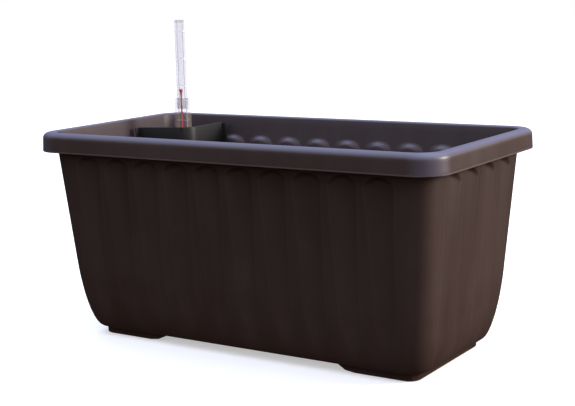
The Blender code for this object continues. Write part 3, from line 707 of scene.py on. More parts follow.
    @classmethod
    def cut(cls, piece: bpy.types.Object, cutter: bpy.types.Object,
            operation: str = "DIFFERENCE") -> None:
        """Take a cutter out of a piece, or join it on, and remove the cutter."""
        cls.apply(piece, "BOOLEAN", operation=operation, object=cutter, solver="EXACT")
        bpy.data.objects.remove(cutter, do_unlink=True)


def soft_max(first: float, second: float, blend: float) -> float:
    """Give the larger number, rounded where the two are within blend of each other."""
    near = max(blend - abs(first - second), 0.0)
    return max(first, second) + near * near / (4 * blend)


# ---- tub ----------------------------------------------------------------------------
class Flutes(Enum):
    """Which face of the fluted wall a ring of the tub lies on."""

    NONE = 0
    OUTSIDE = 1
    INSIDE = 2


@dataclass
class Ring:
    """One ring round the tub: inset from the rim outline, height and corner radius.

    A ring that follows the feet rises between them, and its feet_step lifts only the
    part that stands on a foot.
    """

    inset: float
    z: float
    radius: float
    flutes: Flutes = Flutes.NONE
    follows_feet: bool = False
    feet_step: float = 0.0


@dataclass
class Tub:
    """The fluted tub with its rolled rim and two feet, as one closed shell."""

    finishes: Finishes
    length: float = 0.600
    width: float = 0.3025
    height: float = 0.2813
    wall: float = 0.0026
    floor: float = 0.0030
    rim_depth: float = 0.0254
    rim_corner: float = 0.0353
    rim_draft: float = 0.05
    shoulder_width: float = 0.0080
    shoulder_height: float = 0.0070
    skirt: float = 0.0024
    web: float = 0.0032
    lip: float = 0.0028
    wall_from_rim: float = 0.0144
    taper: float = 0.0814
    body_corner: float = 0.0274
    curve_height: float = 0.0895
    curve_inset: float = 0.0140
    foot_height: float = 0.0113
    foot_margin: float = 0.0082
    foot_corner: float = 0.0152
    foot_length: float = 0.0934
    foot_slope: float = 0.0180
    pitch: float = 0.0484
    hollow_r: float = 0.0360
    top_depth: float = 0.0062
    foot_depth: float = 0.0030
    crown_drop: float = 0.0300
    fade_foot: float = 0.0253
    fade: float = 0.0400
    arch_r: float = 0.0220
    arch_ledge: float = 0.0040
    on_side: int = 10
    on_end: int = 4
    arch_step: float = 0.0014
    arch_blend: float = 0.0014
    land_blend: float = 0.0007
    least_half: float = 0.0045
    outlet_r: float = 0.0060
    outlet_z: float = 0.1020
    inside_drop: float = 0.0012
    across: tuple = (-1.0, -0.95, -0.84, -0.66, -0.45, -0.22, 0.0,
                     0.22, 0.45, 0.66, 0.84, 0.95, 1.0)
    between: tuple = (0.16, 0.5, 0.84)
    to_corner: tuple = (0.12, 0.4, 0.7, 0.9)
    corner_steps: int = 14

    @property
    def half_x(self) -> float:
        """Half length over the rim."""
        return self.length / 2

    @property
    def half_y(self) -> float:
        """Half width over the rim."""
        return self.width / 2

    @property
    def arch_middle(self) -> float:
        """Height of the middle of a flute's arched top."""
        return self.height - self.crown_drop - self.arch_r

    @property
    def foot_inset(self) -> float:
        """Inset of the feet's outside."""
        return self.wall_inset(self.foot_height) + self.foot_margin

    def wall_inset(self, z: float) -> float:
        """Find the inset of the wall's outside, which curves in towards the feet.

        Args:
            z: Height.

        Returns:
            The inset.
        """
        inset = self.wall_from_rim + self.taper * (self.height - z)
        curve_top = self.foot_height + self.curve_height
        if z < curve_top:
            e = min((curve_top - z) / self.curve_height, 1.0)
            inset += self.curve_inset * (1 - math.sqrt(1 - e * e))
        return inset

    def rim_inset(self, z: float) -> float:
        """Find the inset of the rim's outside: drafted skirt, then rounded shoulder.

        Args:
            z: Height.

        Returns:
            The inset.
        """
        inset = self.rim_draft * (z - (self.height - self.rim_depth))
        rise = z - (self.height - self.shoulder_height)
        if rise > 0:
            e = min(rise / self.shoulder_height, 1.0)
            inset += self.shoulder_width * (1 - math.sqrt(1 - e * e))
        return inset

    def hollow_depth(self, z: float) -> float:
        """Find the depth of a flute's middle, which fades out at the foot.

        Args:
            z: Height.

        Returns:
            The depth.
        """
        fade_top = self.fade_foot + self.fade
        if z < fade_top:
            return self.foot_depth * (z - self.fade_foot) / self.fade
        u = (z - fade_top) / (self.height - self.crown_drop - fade_top)
        return self.foot_depth + (self.top_depth - self.foot_depth) * min(u, 1.0) ** 2

    def flute_half(self, z: float, flutes: Flutes) -> float:
        """Find half the width of a flute where it meets the wall's face.

        Args:
            z: Height.
            flutes: Which face of the wall it is on.

        Returns:
            The half width.
        """
        extra = self.wall if flutes is Flutes.INSIDE else 0.0
        depth = max(self.hollow_depth(min(z, self.arch_middle)), 0.0)
        reach = self.hollow_r + extra
        return max(math.sqrt(reach ** 2 - (reach - depth) ** 2), self.least_half)

    def relief(self, across: float, z: float, flutes: Flutes) -> float:
        """How far a flute pushes the wall's face inwards at a point.

        Args:
            across: Distance from the flute's middle line.
            z: Height of the point.
            flutes: Which face of the wall the point is on.

        Returns:
            The depth, 0 on the land between flutes.
        """
        extra = self.wall if flutes is Flutes.INSIDE else 0.0
        reach = self.hollow_r + extra
        if abs(across) >= reach:
            return 0.0
        channel = (math.sqrt(reach ** 2 - across ** 2)
                   - (self.hollow_r - self.hollow_depth(z)) - extra)
        slope = self.arch_ledge / self.top_depth
        away = math.hypot(across, max(z - self.arch_middle, 0.0))
        ledge = (self.arch_r + extra * math.hypot(1.0, slope) - away) / slope - extra
        pressed = -soft_max(-channel, -ledge, self.arch_blend)
        return soft_max(pressed, 0.0, self.land_blend)

    def heights(self) -> list:
        """List the heights of the wall's rings, close together where it curves.

        Returns:
            Heights over the curve at the foot, the plain wall, the arches and above.
        """
        curve_top = self.foot_height + self.curve_height
        made = [curve_top - self.curve_height * math.sin(math.radians(90 - 5 * k))
                for k in range(19)]
        arches = self.arch_middle - 0.004
        made += [curve_top + (arches - curve_top) * k / 14 for k in range(1, 14)]
        made += [arches + self.arch_step * k for k in range(23)]
        last = made[-1]
        return made + [last + (self.height - 0.0042 - last) * k / 3 for k in range(1, 4)]

    def under_rings(self) -> list:
        """List the rings from under the feet to the foot of the wall."""
        foot, base, corner = self.foot_inset, self.foot_height, self.foot_corner
        return [Ring(foot + 0.0024, 0.0, corner - 0.002, follows_feet=True),
                Ring(foot + 0.0008, 0.0, corner, follows_feet=True),
                Ring(foot + 0.0001, 0.0, corner, follows_feet=True, feet_step=0.0008),
                Ring(foot, base, corner),
                Ring(foot - 0.0012, base, corner + 0.001),
                Ring(foot - 0.0045, base, corner + 0.005)]

    def rim_rings(self) -> list:
        """List the rings over the rim, from its hollow underside to its inner lip.

        Returns:
            Rings of the web, the skirt, the shoulder, the crest and the lip.
        """
        top, corner = self.height, self.body_corner
        skirt_foot = top - self.rim_depth
        shoulder = top - self.shoulder_height
        under = top - self.web
        inner = self.skirt + self.rim_inset(shoulder)
        made = [Ring(self.wall_from_rim - 0.0006, under - 0.0004, corner),
                Ring(self.wall_from_rim - 0.0016, under, corner + 0.001),
                Ring(inner + 0.0022, under, 0.032),
                Ring(inner + 0.0006, under - 0.001, 0.0326),
                Ring(inner, under - 0.003, 0.033),
                Ring(inner - 0.0003, shoulder, 0.033),
                Ring(self.skirt + 0.0004, skirt_foot + 0.008, 0.033),
                Ring(self.skirt, skirt_foot + 0.0006, 0.033),
                Ring(self.skirt - 0.0005, skirt_foot, 0.0335),
                Ring(0.0008, skirt_foot, 0.0347),
                Ring(0.0002, skirt_foot + 0.0003, 0.0352),
                Ring(0.0, skirt_foot + 0.0012, self.rim_corner)]
        for share in (0.3, 0.6, 0.85, 1.0):
            z = skirt_foot + (shoulder - skirt_foot) * share
            made.append(Ring(self.rim_inset(z), z, self.rim_corner - self.rim_inset(z)))
        for turn in (12, 25, 38, 51, 64, 76, 86):
            z = shoulder + self.shoulder_height * math.sin(math.radians(turn))
            inset = self.rim_inset(z)
            made.append(Ring(inset, z, self.rim_corner - inset))
        crest = self.shoulder_width + self.rim_inset(shoulder)
        inside = self.wall_from_rim + self.wall
        made.append(Ring(crest + 0.0007, top, self.rim_corner - crest - 0.0007))
        made.append(Ring((crest + inside - self.lip) / 2, top,
                         self.rim_corner - crest - 0.002))
        for turn in (0, 18, 36, 54, 72, 90):
            away = self.lip * (1 - math.sin(math.radians(turn)))
            drop = self.lip * (1 - math.cos(math.radians(turn)))
            made.append(Ring(inside + self.taper * drop - away, top - drop,
                             corner - self.wall + 0.5 * away))
        return made

    def inside_rings(self) -> list:
        """List the rings down the inside, to the edge of the floor between the feet.

        Returns:
            Rings of the inner wall and of the floor's edge.
        """
        made = []
        for z in [z for z in reversed(self.heights()) if z < self.height - 0.006]:
            lifted = z + self.floor * max(0.0, min(1.0, (0.09 - z) / 0.08))
            made.append(Ring(self.wall_inset(z) + self.wall - self.taper * (lifted - z),
                             lifted, self.body_corner - self.wall, Flutes.INSIDE))
        foot, corner = self.foot_inset, self.foot_corner
        floor_z = self.foot_height + self.floor
        return made + [Ring(foot - 0.0035, floor_z, corner + 0.003),
                       Ring(foot + self.floor - 0.001, floor_z, corner - 0.002),
                       Ring(foot + self.floor, floor_z - 0.0008, corner - self.floor),
                       Ring(foot + self.floor + 0.0002, self.floor, corner - self.floor,
                            follows_feet=True)]

    def rings(self) -> list:
        """List the shell's rings, from under the feet, over the rim, to the floor."""
        outside = [Ring(self.wall_inset(z), z, self.body_corner, Flutes.OUTSIDE)
                   for z in self.heights()]
        return self.under_rings() + outside + self.rim_rings() + self.inside_rings()

    def columns(self) -> list:
        """List the shell's columns, in order round the tub.

        Returns:
            Each column's side, its kind and its share of the way, with a flute's number.
        """
        made = []
        for side in range(4):
            count = self.on_side if side % 2 == 0 else self.on_end
            made += [(side, "end", -share) for share in (1.0, *reversed(self.to_corner))]
            for flute in range(count):
                made += [(side, "flute", (flute, share)) for share in self.across]
                if flute < count - 1:
                    made += [(side, "land", (flute, share)) for share in self.between]
            made += [(side, "end", share) for share in (*self.to_corner, 1.0)]
            made += [(side, "corner", k / self.corner_steps)
                     for k in range(1, self.corner_steps)]
        return made

    def foot_breaks(self) -> tuple:
        """X of a foot's inner edge on the ground, and of the top of its slope."""
        inner = self.half_x - self.foot_inset - self.foot_length
        return inner, inner - self.foot_slope

    def along(self, column: tuple, ring: Ring) -> tuple:
        """Find a column's place along its side, and its flute's middle line.

        Args:
            column: One of the list from columns.
            ring: The ring that it crosses.

        Returns:
            Distance along the side from its middle, and that of the nearest flute.
        """
        side, kind, where = column
        count = self.on_side if side % 2 == 0 else self.on_end
        half = self.half_x if side % 2 == 0 else self.half_y
        straight = half - ring.inset - ring.radius
        flutes = Flutes.INSIDE if ring.flutes is Flutes.INSIDE else Flutes.OUTSIDE
        flute_half = self.flute_half(ring.z, flutes)
        last = (count - 1) / 2 * self.pitch
        room = min(1.0, (straight - 0.002) / (last + flute_half))
        if kind == "flute":
            middle = (where[0] - (count - 1) / 2) * self.pitch
            return (middle + where[1] * flute_half) * room, middle
        if kind == "land":
            start = (where[0] - (count - 1) / 2) * self.pitch + flute_half
            across = where[1] * (self.pitch - 2 * flute_half)
            return (start + across) * room, start - flute_half
        edge = (last + flute_half) * room
        return math.copysign(edge + (straight - edge) * abs(where), where), \
            math.copysign(last, where)

    def feet_z(self, x: float, ring: Ring) -> float:
        """Find the height of the underside or of the inner floor.

        Args:
            x: Place along the tub.
            ring: The ring, on the ground for the underside.

        Returns:
            The height.
        """
        inner, slope_top = self.foot_breaks()
        if ring.z > 0.0:
            inner += self.floor
            slope_top += self.floor
        rise = min(max((inner - abs(x)) / (inner - slope_top), 0.0), 1.0)
        return ring.z + ring.feet_step * (1 - rise) + self.foot_height * rise

    def build(self) -> bpy.types.Object:
        """Model the shell: a grid laid over the rings, closed above and below the floor.

        Returns:
            The new object.
        """
        rings, columns = self.rings(), self.columns()
        count = len(columns)
        breaks = [sign * x for x in self.foot_breaks() for sign in (-1, 1)]

        def spot(column: int, row: int) -> tuple:
            """Lay a corner of the grid.

            Args:
                column: Its column, counted on past the last to close the ring.
                row: Its ring.

            Returns:
                Its place.
            """
            ring, (side, kind, where) = rings[row], columns[column % count]
            a, b = ((self.half_x, self.half_y) if side % 2 == 0
                    else (self.half_y, self.half_x))
            if kind == "corner":
                turn = math.pi / 2 * where
                t = a - ring.inset - ring.radius * (1 - math.sin(turn))
                h = b - ring.inset - ring.radius * (1 - math.cos(turn))
                pressed = 0.0
            else:
                t, middle = self.along(columns[column % count], ring)
                h = b - ring.inset
                pressed = (0.0 if ring.flutes is Flutes.NONE
                           else self.relief(t - middle, ring.z, ring.flutes))
            h -= pressed
            x, y = ((t, -h), (h, t), (-t, h), (-h, -t))[side]
            z = self.feet_z(x, ring) if ring.follows_feet else ring.z
            return x, y, z

        LOG.info("tub shell: %d columns, %d rings", count, len(rings))
        piece = Bench.grid("tub_shell", count, len(rings) - 1, spot)
        bpy.ops.object.mode_set(mode="EDIT")
        bpy.ops.mesh.select_all(action="SELECT")
        bpy.ops.mesh.remove_doubles(threshold=1e-6)
        mesh = bmesh.from_edit_mesh(piece.data)
        self.close(mesh, breaks)
        bmesh.update_edit_mesh(piece.data)
        bpy.ops.mesh.select_all(action="SELECT")
        bpy.ops.mesh.normals_make_consistent(inside=False)
        bpy.ops.object.mode_set(mode="OBJECT")
        self.drill(piece)
        Bench.smooth(piece, 50.0)
        return piece

    def close(self, mesh: bmesh.types.BMesh, breaks: list) -> None:
        """Close both open rings with flat faces that meet at the feet's slopes.

        Args:
            mesh: The open shell.
            breaks: X of each line where the floor changes slope.
        """
        open_edges = dict.fromkeys(e for e in mesh.edges if e.is_boundary)
        while open_edges:
            edge = next(iter(open_edges))
            del open_edges[edge]
            loop = [edge.verts[0], edge.verts[1]]
            while True:
                following = [e for e in loop[-1].link_edges if e in open_edges]
                if not following:
                    break
                del open_edges[following[0]]
                nearest = following[0].other_vert(loop[-1])
                if nearest is loop[0]:
                    break
                loop.append(nearest)
            self.fill(mesh, loop, breaks)

    @staticmethod
    def fill(mesh: bmesh.types.BMesh, loop: list, breaks: list) -> None:
        """Fill one closed ring, split across the tub at each break.

        Args:
            mesh: The shell.
            loop: The ring's corners, in order.
            breaks: X of each line where the floor changes slope.
        """
        cuts = []
        for x in sorted(breaks):
            for sign in (-1, 1):
                rim = [v for v in loop if v.co.y * sign > 0
                       and abs(v.co.y) > 0.95 * max(abs(w.co.y) for w in loop)]
                cuts.append(min(rim, key=lambda v: abs(v.co.x - x)))
        mesh.faces.new(loop)
        for first, second in zip(cuts[::2], cuts[1::2]):
            bmesh.ops.connect_vert_pair(mesh, verts=[first, second])

    def drill(self, piece: bpy.types.Object) -> None:
        """Drill the overflow outlet through the left end wall, square to it.

        Args:
            piece: The shell.
        """
        x = -(self.half_x - self.wall_inset(self.outlet_z))
        lean = math.atan(self.taper)
        reach = Vector((math.cos(lean), 0.0, math.sin(lean))) * 0.02
        middle = Vector((x, 0.0, self.outlet_z))
        cutter = Bench.rod("outlet_cutter", self.outlet_r, middle - reach,
                           middle + reach, 32)
        Bench.cut(piece, cutter)

    def looks_in(self, face: bpy.types.MeshPolygon) -> bool:
        """Say whether a face of the shell is on its inside.

        Args:
            face: The face.

        Returns:
            True on the inner wall and the floor, and False on the top of the rim.
        """
        across = face.center.x * face.normal.x + face.center.y * face.normal.y
        if face.center.z > self.height - self.inside_drop:
            return False
        if face.normal.z > 0.8:
            return face.center.z < self.height / 2
        return across < 0 and abs(face.normal.z) < 0.99

    def place(self) -> None:
        """Build, dress and hand over the tub."""
        piece = self.build()
        self.finishes.dress(piece, Finish.BROWN)
        # The inside faces take the lighter copy of the brown: painted light.
        self.finishes.line(piece, Finish.INNER, self.looks_in)
        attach(piece, "tub")
        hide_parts("tub")
        LOG.info("tub: %d triangles", sum(len(f.vertices) - 2 for f in piece.data.polygons))


# ---- filler shaft -------------------------------------------------------------------
@dataclass
class FillerShaft:
    """The black corner panel: a bent sheet with two flanges and a finger dimple."""

    finishes: Finishes
    side_x: float = -0.1825
    front_y: float = 0.0410
    bend_r: float = 0.0180
    sheet: float = 0.0022
    flange: float = 0.0080
    stand_off: float = 0.0084
    bottom: float = 0.1233
    top: float = 0.2718
    fall: float = 0.0028
    levels: tuple = (0.150, 0.180, 0.210, 0.240)
    dimple_x: float = -0.1930
    dimple_half: float = 0.0050
    dimple_drop: float = 0.0060
    dimple_depth: float = 0.0012

    def plan(self, z: float, tub: Tub) -> tuple:
        """Find where the sheet's two flanges stand at a height.

        Args:
            z: Height.
            tub: The tub, whose walls they stand off from.

        Returns:
            X of the left flange's outer face and Y of the rear one's.
        """
        inset = tub.wall_inset(z - tub.floor) + tub.wall - tub.taper * tub.floor
        left = -(tub.half_x - inset - self.stand_off) + self.sheet
        return left, tub.half_y - inset - self.stand_off - self.sheet

    def outline(self, z: float, tub: Tub) -> list:
        """List the sheet's outer line, from the left flange to the rear one.

        Args:
            z: Height.
            tub: The tub, whose walls the flanges stand off from.

        Returns:
            X and Y of each corner of the line.
        """
        left, rear = self.plan(z, tub)
        bend_x, bend_y = self.side_x - self.bend_r, self.front_y + self.bend_r
        line = [(left, self.front_y - self.flange * (1 - k / 4)) for k in range(4)]
        line += [(left + (bend_x - left) * k / 20, self.front_y) for k in range(20)]
        for k in range(13):
            turn = math.pi / 2 * k / 12
            line.append((bend_x + self.bend_r * math.sin(turn),
                         bend_y - self.bend_r * math.cos(turn)))
        line += [(self.side_x, bend_y + (rear - bend_y) * k / 8) for k in range(1, 9)]
        return line + [(self.side_x + self.flange * k / 4, rear) for k in range(1, 5)]

    def place(self, tub: Tub) -> None:
        """Model, dress and hand over the shaft.

        Args:
            tub: The tub that it stands in.
        """
        levels = [self.bottom, *self.levels, self.top]
        lines = [self.outline(z, tub) for z in levels]
        bend_x = self.side_x - self.bend_r

        def spot(column: int, row: int) -> tuple:
            """Lay a corner of the sheet, whose front falls to the left at the top.

            Args:
                column: Its place in the outline.
                row: Its level.

            Returns:
                Its place.
            """
            x, y = lines[row][column]
            z = levels[row]
            if row == len(levels) - 1 and x < bend_x:
                z -= self.fall * (bend_x - x) / (bend_x - lines[row][0][0])
            return x, y, z

        piece = Bench.grid("filler_shaft_panel", len(lines[0]) - 1, len(levels) - 1, spot)
        Bench.apply(piece, "SOLIDIFY", thickness=self.sheet, offset=-1.0,
                    use_even_offset=True)
        x = self.dimple_x
        cutter = Bench.rod("dimple", self.dimple_half, (x, self.front_y - 0.02, 0.0),
                           (x, self.front_y + self.dimple_depth, 0.0), 32)
        bpy.ops.transform.resize(value=(1.0, 1.0, self.dimple_drop / self.dimple_half),
                                 center_override=(x, 0.0, 0.0))
        bpy.ops.transform.translate(value=(0.0, 0.0, self.top))
        bpy.ops.object.transform_apply(location=True, rotation=True, scale=True)
        Bench.cut(piece, cutter)
        Bench.round_edges(piece, 0.0004, 2, 50.0)
        Bench.smooth(piece, 40.0)
        self.finishes.dress(piece, Finish.BLACK)
        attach(piece, "insert")
        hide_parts("filler_shaft")
        LOG.info("filler shaft: %d faces", len(piece.data.polygons))


# ---- float gauge --------------------------------------------------------------------
@dataclass
class Gauge:
    """The clear rectangular gauge: sleeve, tube with marks, cap and rod guide."""

    finishes: Finishes
    x: float = -0.2080
    y: float = 0.0625
    rim: float = 0.2813
    marks: tuple = (0.0485, 0.0870, 0.1254)
    mark_height: float = 0.0014
    mark_proud: float = 0.0004
    mouth_play: float = 0.0003
    sleeve_corner: float = 0.0014
    sleeve_wall: float = 0.0012
    tube_corner: float = 0.0011
    tube_wall: float = 0.0009
    cap_plate: float = 0.0018
    cap_step: float = 0.0013
    tent_foot: float = 0.0010
    rod_left: float = 0.0018
    bore_r: float = 0.0014

    def prism(self, name: str, low: Vector, high: Vector, corner: float,
              wall: float) -> bpy.types.Object:
        """Model an upright rectangular pipe with rounded corners.

        Args:
            name: The piece's name.
            low: Its lowest corner.
            high: Its highest corner.
            corner: Rounding of its upright edges.
            wall: Thickness of its wall.

        Returns:
            The new object.
        """
        piece = Bench.block(name, low, high)
        Bench.pick(piece, "EDGE", lambda mesh, e: abs(
            mesh.vertices[e.vertices[0]].co.z - mesh.vertices[e.vertices[1]].co.z) > 1e-4)
        bpy.ops.mesh.bevel(offset=corner, segments=4, affect="EDGES")
        Bench.pick(piece, "FACE", lambda mesh, f: abs(f.normal.z) > 0.9)
        bpy.ops.mesh.delete(type="FACE")
        bpy.ops.object.mode_set(mode="OBJECT")
        Bench.apply(piece, "SOLIDIFY", thickness=wall, offset=-1.0, use_even_offset=True)
        return piece

    def sleeve(self) -> bpy.types.Object:
        """Model the sleeve: a wide pipe whose top steps in to the tube.

        Returns:
            The new object.
        """
        low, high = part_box("gauge_sleeve")
        piece = self.prism("gauge_sleeve_pipe", low, high, self.sleeve_corner,
                           self.sleeve_wall)
        into = self.sleeve_wall / 2
        ledge = Bench.block("sleeve_ledge",
                            (low.x + into, low.y + into, high.z - self.sleeve_wall),
                            (high.x - into, high.y - into, high.z - 0.00002))
        low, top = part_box("gauge_tube")
        inset = self.mark_proud - self.mouth_play
        mouth = Bench.block("sleeve_mouth", (low.x + inset, low.y + inset, high.z - 0.01),
                            (top.x - inset, top.y - inset, high.z + 0.01))
        Bench.cut(ledge, mouth)
        Bench.cut(piece, ledge, "UNION")
        Bench.round_edges(piece, 0.00025, 2, 50.0)
        return piece

    def tube(self) -> list:
        """Model the tube and its three raised marks.

        Returns:
            The pipe and then the marks.
        """
        low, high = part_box("gauge_tube")
        inset = Vector((self.mark_proud, self.mark_proud, 0.0))
        tube = self.prism("gauge_tube_pipe", low + inset, high - inset, self.tube_corner,
                          self.tube_wall)
        Bench.round_edges(tube, 0.0002, 2, 50.0)
        made = [tube]
        for number, above in enumerate(self.marks, 1):
            z = self.rim + above
            mark = self.prism(f"gauge_mark_{number}",
                              Vector((low.x, low.y, z - self.mark_height / 2)),
                              Vector((high.x, high.y, z + self.mark_height / 2)),
                              self.sleeve_corner, self.mark_proud + 0.0002)
            Bench.round_edges(mark, 0.00015, 2, 50.0)
            made.append(mark)
        return made

    def cap(self) -> bpy.types.Object:
        """Model the cap: a rounded plate with a plug under it.

        Returns:
            The new object.
        """
        low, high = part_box("gauge_cap")
        plate = high.z - self.cap_plate
        piece = Bench.block("gauge_cap_plate", (low.x, low.y, plate), high)
        Bench.pick(piece, "FACE", lambda mesh, f: f.normal.z < -0.9)
        bpy.ops.mesh.inset(thickness=self.cap_step)
        bpy.ops.mesh.extrude_region_move(
            TRANSFORM_OT_translate={"value": (0.0, 0.0, low.z - plate)})
        bpy.ops.object.mode_set(mode="OBJECT")
        Bench.round_edges(piece, 0.0004, 3, 50.0)
        return piece

    def guide(self) -> bpy.types.Object:
        """Model the tent that guides the rod: a plate, two sloping flanks and a crown.

        Returns:
            The new object.
        """
        low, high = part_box("rod_guide")
        rod_x = self.x - self.rod_left
        piece = Bench.block("rod_guide_tent", low, (high.x, high.y, low.z + self.tent_foot))
        Bench.pick(piece, "FACE", lambda mesh, f: f.normal.z > 0.9)
        bpy.ops.mesh.inset(thickness=0.0006)
        bpy.ops.mesh.extrude_region_move(TRANSFORM_OT_translate={
            "value": (0.0, 0.0, high.z - low.z - self.tent_foot)})
        bpy.ops.transform.resize(value=(0.30, 0.55, 1.0))
        bpy.ops.transform.translate(value=(-self.rod_left, 0.0, 0.0))
        bpy.ops.object.mode_set(mode="OBJECT")
        bore = Bench.rod("guide_bore", self.bore_r, (rod_x, self.y, low.z - 0.01),
                         (rod_x, self.y, high.z + 0.01), 24)
        Bench.cut(piece, bore)
        return piece

    def place(self) -> None:
        """Build, dress and hand over the gauge."""
        work = [([self.sleeve()], "gauge_sleeve", Finish.MILKY),
                (self.tube(), "gauge_tube", Finish.CLEAR),
                ([self.cap()], "gauge_cap", Finish.MILKY),
                ([self.guide()], "rod_guide", Finish.MILKY)]
        for pieces, node, finish in work:
            for piece in pieces:
                Bench.smooth(piece, 35.0)
                self.finishes.dress(piece, finish if piece is pieces[0] else Finish.MARK)
                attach(piece, "gauge")
                LOG.info("%s", piece.name)
            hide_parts(node)


@dataclass
class FloatRod:
    """The red rod with its ball, which rises with the float."""

    finishes: Finishes
    rod_r: float = 0.0011
    ball_r: float = 0.0026
    cone: float = 0.0050
    flange: float = 0.0015
    rounding: float = 0.0002

    def place(self) -> None:
        """Model, dress and hand over the rod."""
        low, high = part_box("indicator_rod")
        at = ((low.x + high.x) / 2, (low.y + high.y) / 2)
        ball = high.z - self.ball_r
        profile = [(0.0, high.z)]
        for k in range(1, 13):
            turn = math.radians(90 - 12 * k)
            profile.append((self.ball_r * math.cos(turn),
                            ball + self.ball_r * math.sin(turn)))
        foot_r, step = (high.x - low.x) / 2, self.rounding
        flange = low.z + self.flange
        profile += [(self.rod_r + 0.0003, ball - self.ball_r - self.cone * 0.6),
                    (self.rod_r, ball - self.ball_r - self.cone),
                    (self.rod_r, flange + step), (foot_r - step, flange),
                    (foot_r, flange - step), (foot_r, low.z + step),
                    (foot_r - step, low.z), (0.0, low.z)]
        piece = Bench.spun("indicator_rod_and_ball", profile, at, 32)
        Bench.smooth(piece, 50.0)
        self.finishes.dress(piece, Finish.RED)
        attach(piece, "float")
        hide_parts("indicator_rod")
        LOG.info("indicator rod")


# ---- carried-over pieces ------------------------------------------------------------
@dataclass
class Carried:
    """The frame's own pieces that keep their shape and take a finish."""

    finishes: Finishes
    nodes: dict = field(default_factory=lambda: {
        Finish.BLACK: ("overflow_plug", "false_floor", "support_leg_front_left",
                       "support_leg_front_right", "support_leg_rear_right",
                       "support_leg_rear_left", "wick_basket_1", "wick_basket_2",
                       "wick_basket_3", "float_chamber", "float_clip"),
        Finish.RUBBER: ("overflow_seal",),
        Finish.FOAM: ("float_body",)})

    def place(self) -> None:
        """Dress each node."""
        for finish, names in self.nodes.items():
            for name in names:
                self.finishes.dress(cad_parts[name], finish)
        LOG.info("carried-over nodes dressed")


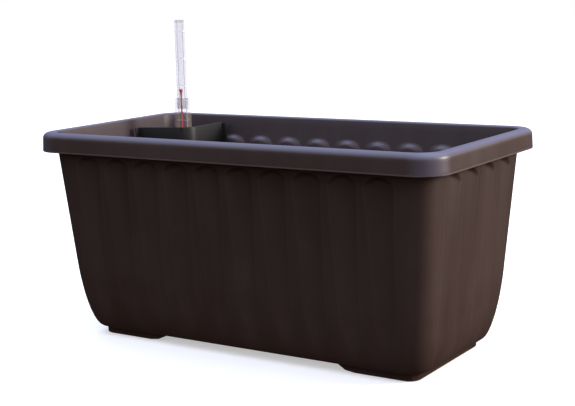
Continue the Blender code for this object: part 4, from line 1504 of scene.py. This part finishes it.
# ---- stage --------------------------------------------------------------------------
@dataclass
class Studio:
    """A white floor, soft light all round, one lamp and the camera."""

    yaw: float = math.radians(32.9865)
    pitch: float = math.radians(9.8702)
    roll: float = math.radians(-1.483)
    eye: tuple = (0.8873, -1.3549, 0.4654)
    lens: float = 77.90
    sensor: float = 36.0
    sky: tuple = (1.60, 1.80, 2.35)
    front: tuple = (0.88, 0.84, 0.90)
    back: tuple = (0.45, 0.48, 0.68)
    warm: tuple = (1.00, 0.66, 0.48)
    ground: tuple = (0.05, 0.03, 0.02)
    air: tuple = (0.05, 0.045, 0.05)
    floor_glow: float = 0.45
    lamp_at: tuple = (2.26, 0.91, 1.04)
    lamp_aim: tuple = (0.0, 0.0, 0.15)
    lamp_size: float = 0.7
    lamp_watts: float = 76.0
    lamp_colour: tuple = (1.0, 0.95, 0.88)

    def camera(self) -> None:
        """Set up the camera."""
        data = bpy.data.cameras.new("camera")
        holder = bpy.data.objects.new("camera", data)
        bpy.context.scene.collection.objects.link(holder)
        data.lens, data.sensor_width = self.lens, self.sensor
        data.clip_start, data.clip_end = 0.01, 60.0
        forward = Vector((-math.sin(self.yaw) * math.cos(self.pitch),
                          math.cos(self.yaw) * math.cos(self.pitch), -math.sin(self.pitch)))
        level = Vector((math.cos(self.yaw), math.sin(self.yaw), 0.0))
        upright = level.cross(forward)
        right = level * math.cos(self.roll) + upright * math.sin(self.roll)
        up = upright * math.cos(self.roll) - level * math.sin(self.roll)
        turn = Matrix((right, up, -forward)).transposed().to_4x4()
        holder.matrix_world = Matrix.Translation(self.eye) @ turn
        bpy.context.scene.camera = holder

    def lamp(self) -> None:
        """Add the soft square lamp at the right."""
        data = bpy.data.lights.new("key_panel", "AREA")
        data.shape, data.size = "SQUARE", self.lamp_size
        data.energy, data.color = self.lamp_watts, self.lamp_colour
        holder = bpy.data.objects.new("key_panel", data)
        bpy.context.scene.collection.objects.link(holder)
        aim = (Vector(self.lamp_aim) - Vector(self.lamp_at)).to_track_quat("-Z", "Y")
        holder.matrix_world = Matrix.Translation(self.lamp_at) @ aim.to_matrix().to_4x4()

    def world(self) -> None:
        """Light the surroundings: cool from above and behind, warm from the right."""
        world = bpy.data.worlds.new("studio_air")
        bpy.context.scene.world = world
        world.use_nodes = True
        g = Graph("studio_air", world.node_tree)
        ways = g.node("ShaderNodeTexCoord").outputs["Generated"]
        parts = g.node("ShaderNodeSeparateXYZ", None, {0: ways}).outputs
        x, y, z = (Sock(g, part) for part in parts)
        above = z.between(0.35, 1.0)
        behind = y.between(0.10, 0.95) * z.between(-0.12, 0.10) \
            * (1.0 - z.between(0.3, 0.8)) * (1.0 - x.between(0.0, 0.5))
        before = (0.0 - y).between(0.15, 0.85) * z.between(0.0, 0.35) \
            * (1.0 - z.between(0.65, 0.95))
        beside = (x * 0.985 + y * 0.17).between(0.40, 1.0) * z.between(-0.25, 0.05)
        below = 1.0 - z.between(-0.35, 0.0)
        light = g.tint(above, self.sky)
        for share, colour in ((behind, self.back), (beside, self.warm),
                              (before, self.front), (below, self.ground),
                              (1.0 - below, self.air)):
            light = g.add(light, g.tint(share, colour))
        seen = Sock(g, g.node("ShaderNodeLightPath").outputs["Is Camera Ray"])
        back = g.node("ShaderNodeBackground", None,
                      {"Color": g.mix(seen, light, rgb(1.0, 1.0, 1.0)), "Strength": 1.0})
        g.tree.links.new(back.outputs[0], g.output.inputs["Surface"])
        bpy.context.scene.view_settings.view_transform = "Standard"

    def floor(self) -> None:
        """Lay the pale floor."""
        Bench.clear()
        bpy.ops.mesh.primitive_plane_add(size=30.0, location=(0.0, 0.0, -0.0005))
        ground = Bench.name("studio_floor")
        g = Graph("pale_floor")
        ground.data.materials.append(g.finish({
            "Base Color": g.mix(g.noise(3.0), rgb(0.80, 0.80, 0.80), rgb(0.82, 0.82, 0.82)),
            "Roughness": 0.9, "Emission Color": rgb(1.0, 1.0, 1.0),
            "Emission Strength": self.floor_glow}))
        ground.visible_diffuse = ground.visible_glossy = False

    def build(self) -> None:
        """Set the whole stage."""
        self.camera()
        self.world()
        self.floor()
        self.lamp()
        LOG.info("stage set")


def main() -> None:
    """Build the planter's pieces in order, and report each."""
    logging.basicConfig(level=logging.INFO, format="%(name)s: %(message)s")
    Studio().build()
    finishes = Finishes()
    tub = Tub(finishes)
    tub.place()
    FillerShaft(finishes).place(tub)
    Gauge(finishes).place()
    FloatRod(finishes).place()
    Carried(finishes).place()


if __name__ == "__main__":
    main()
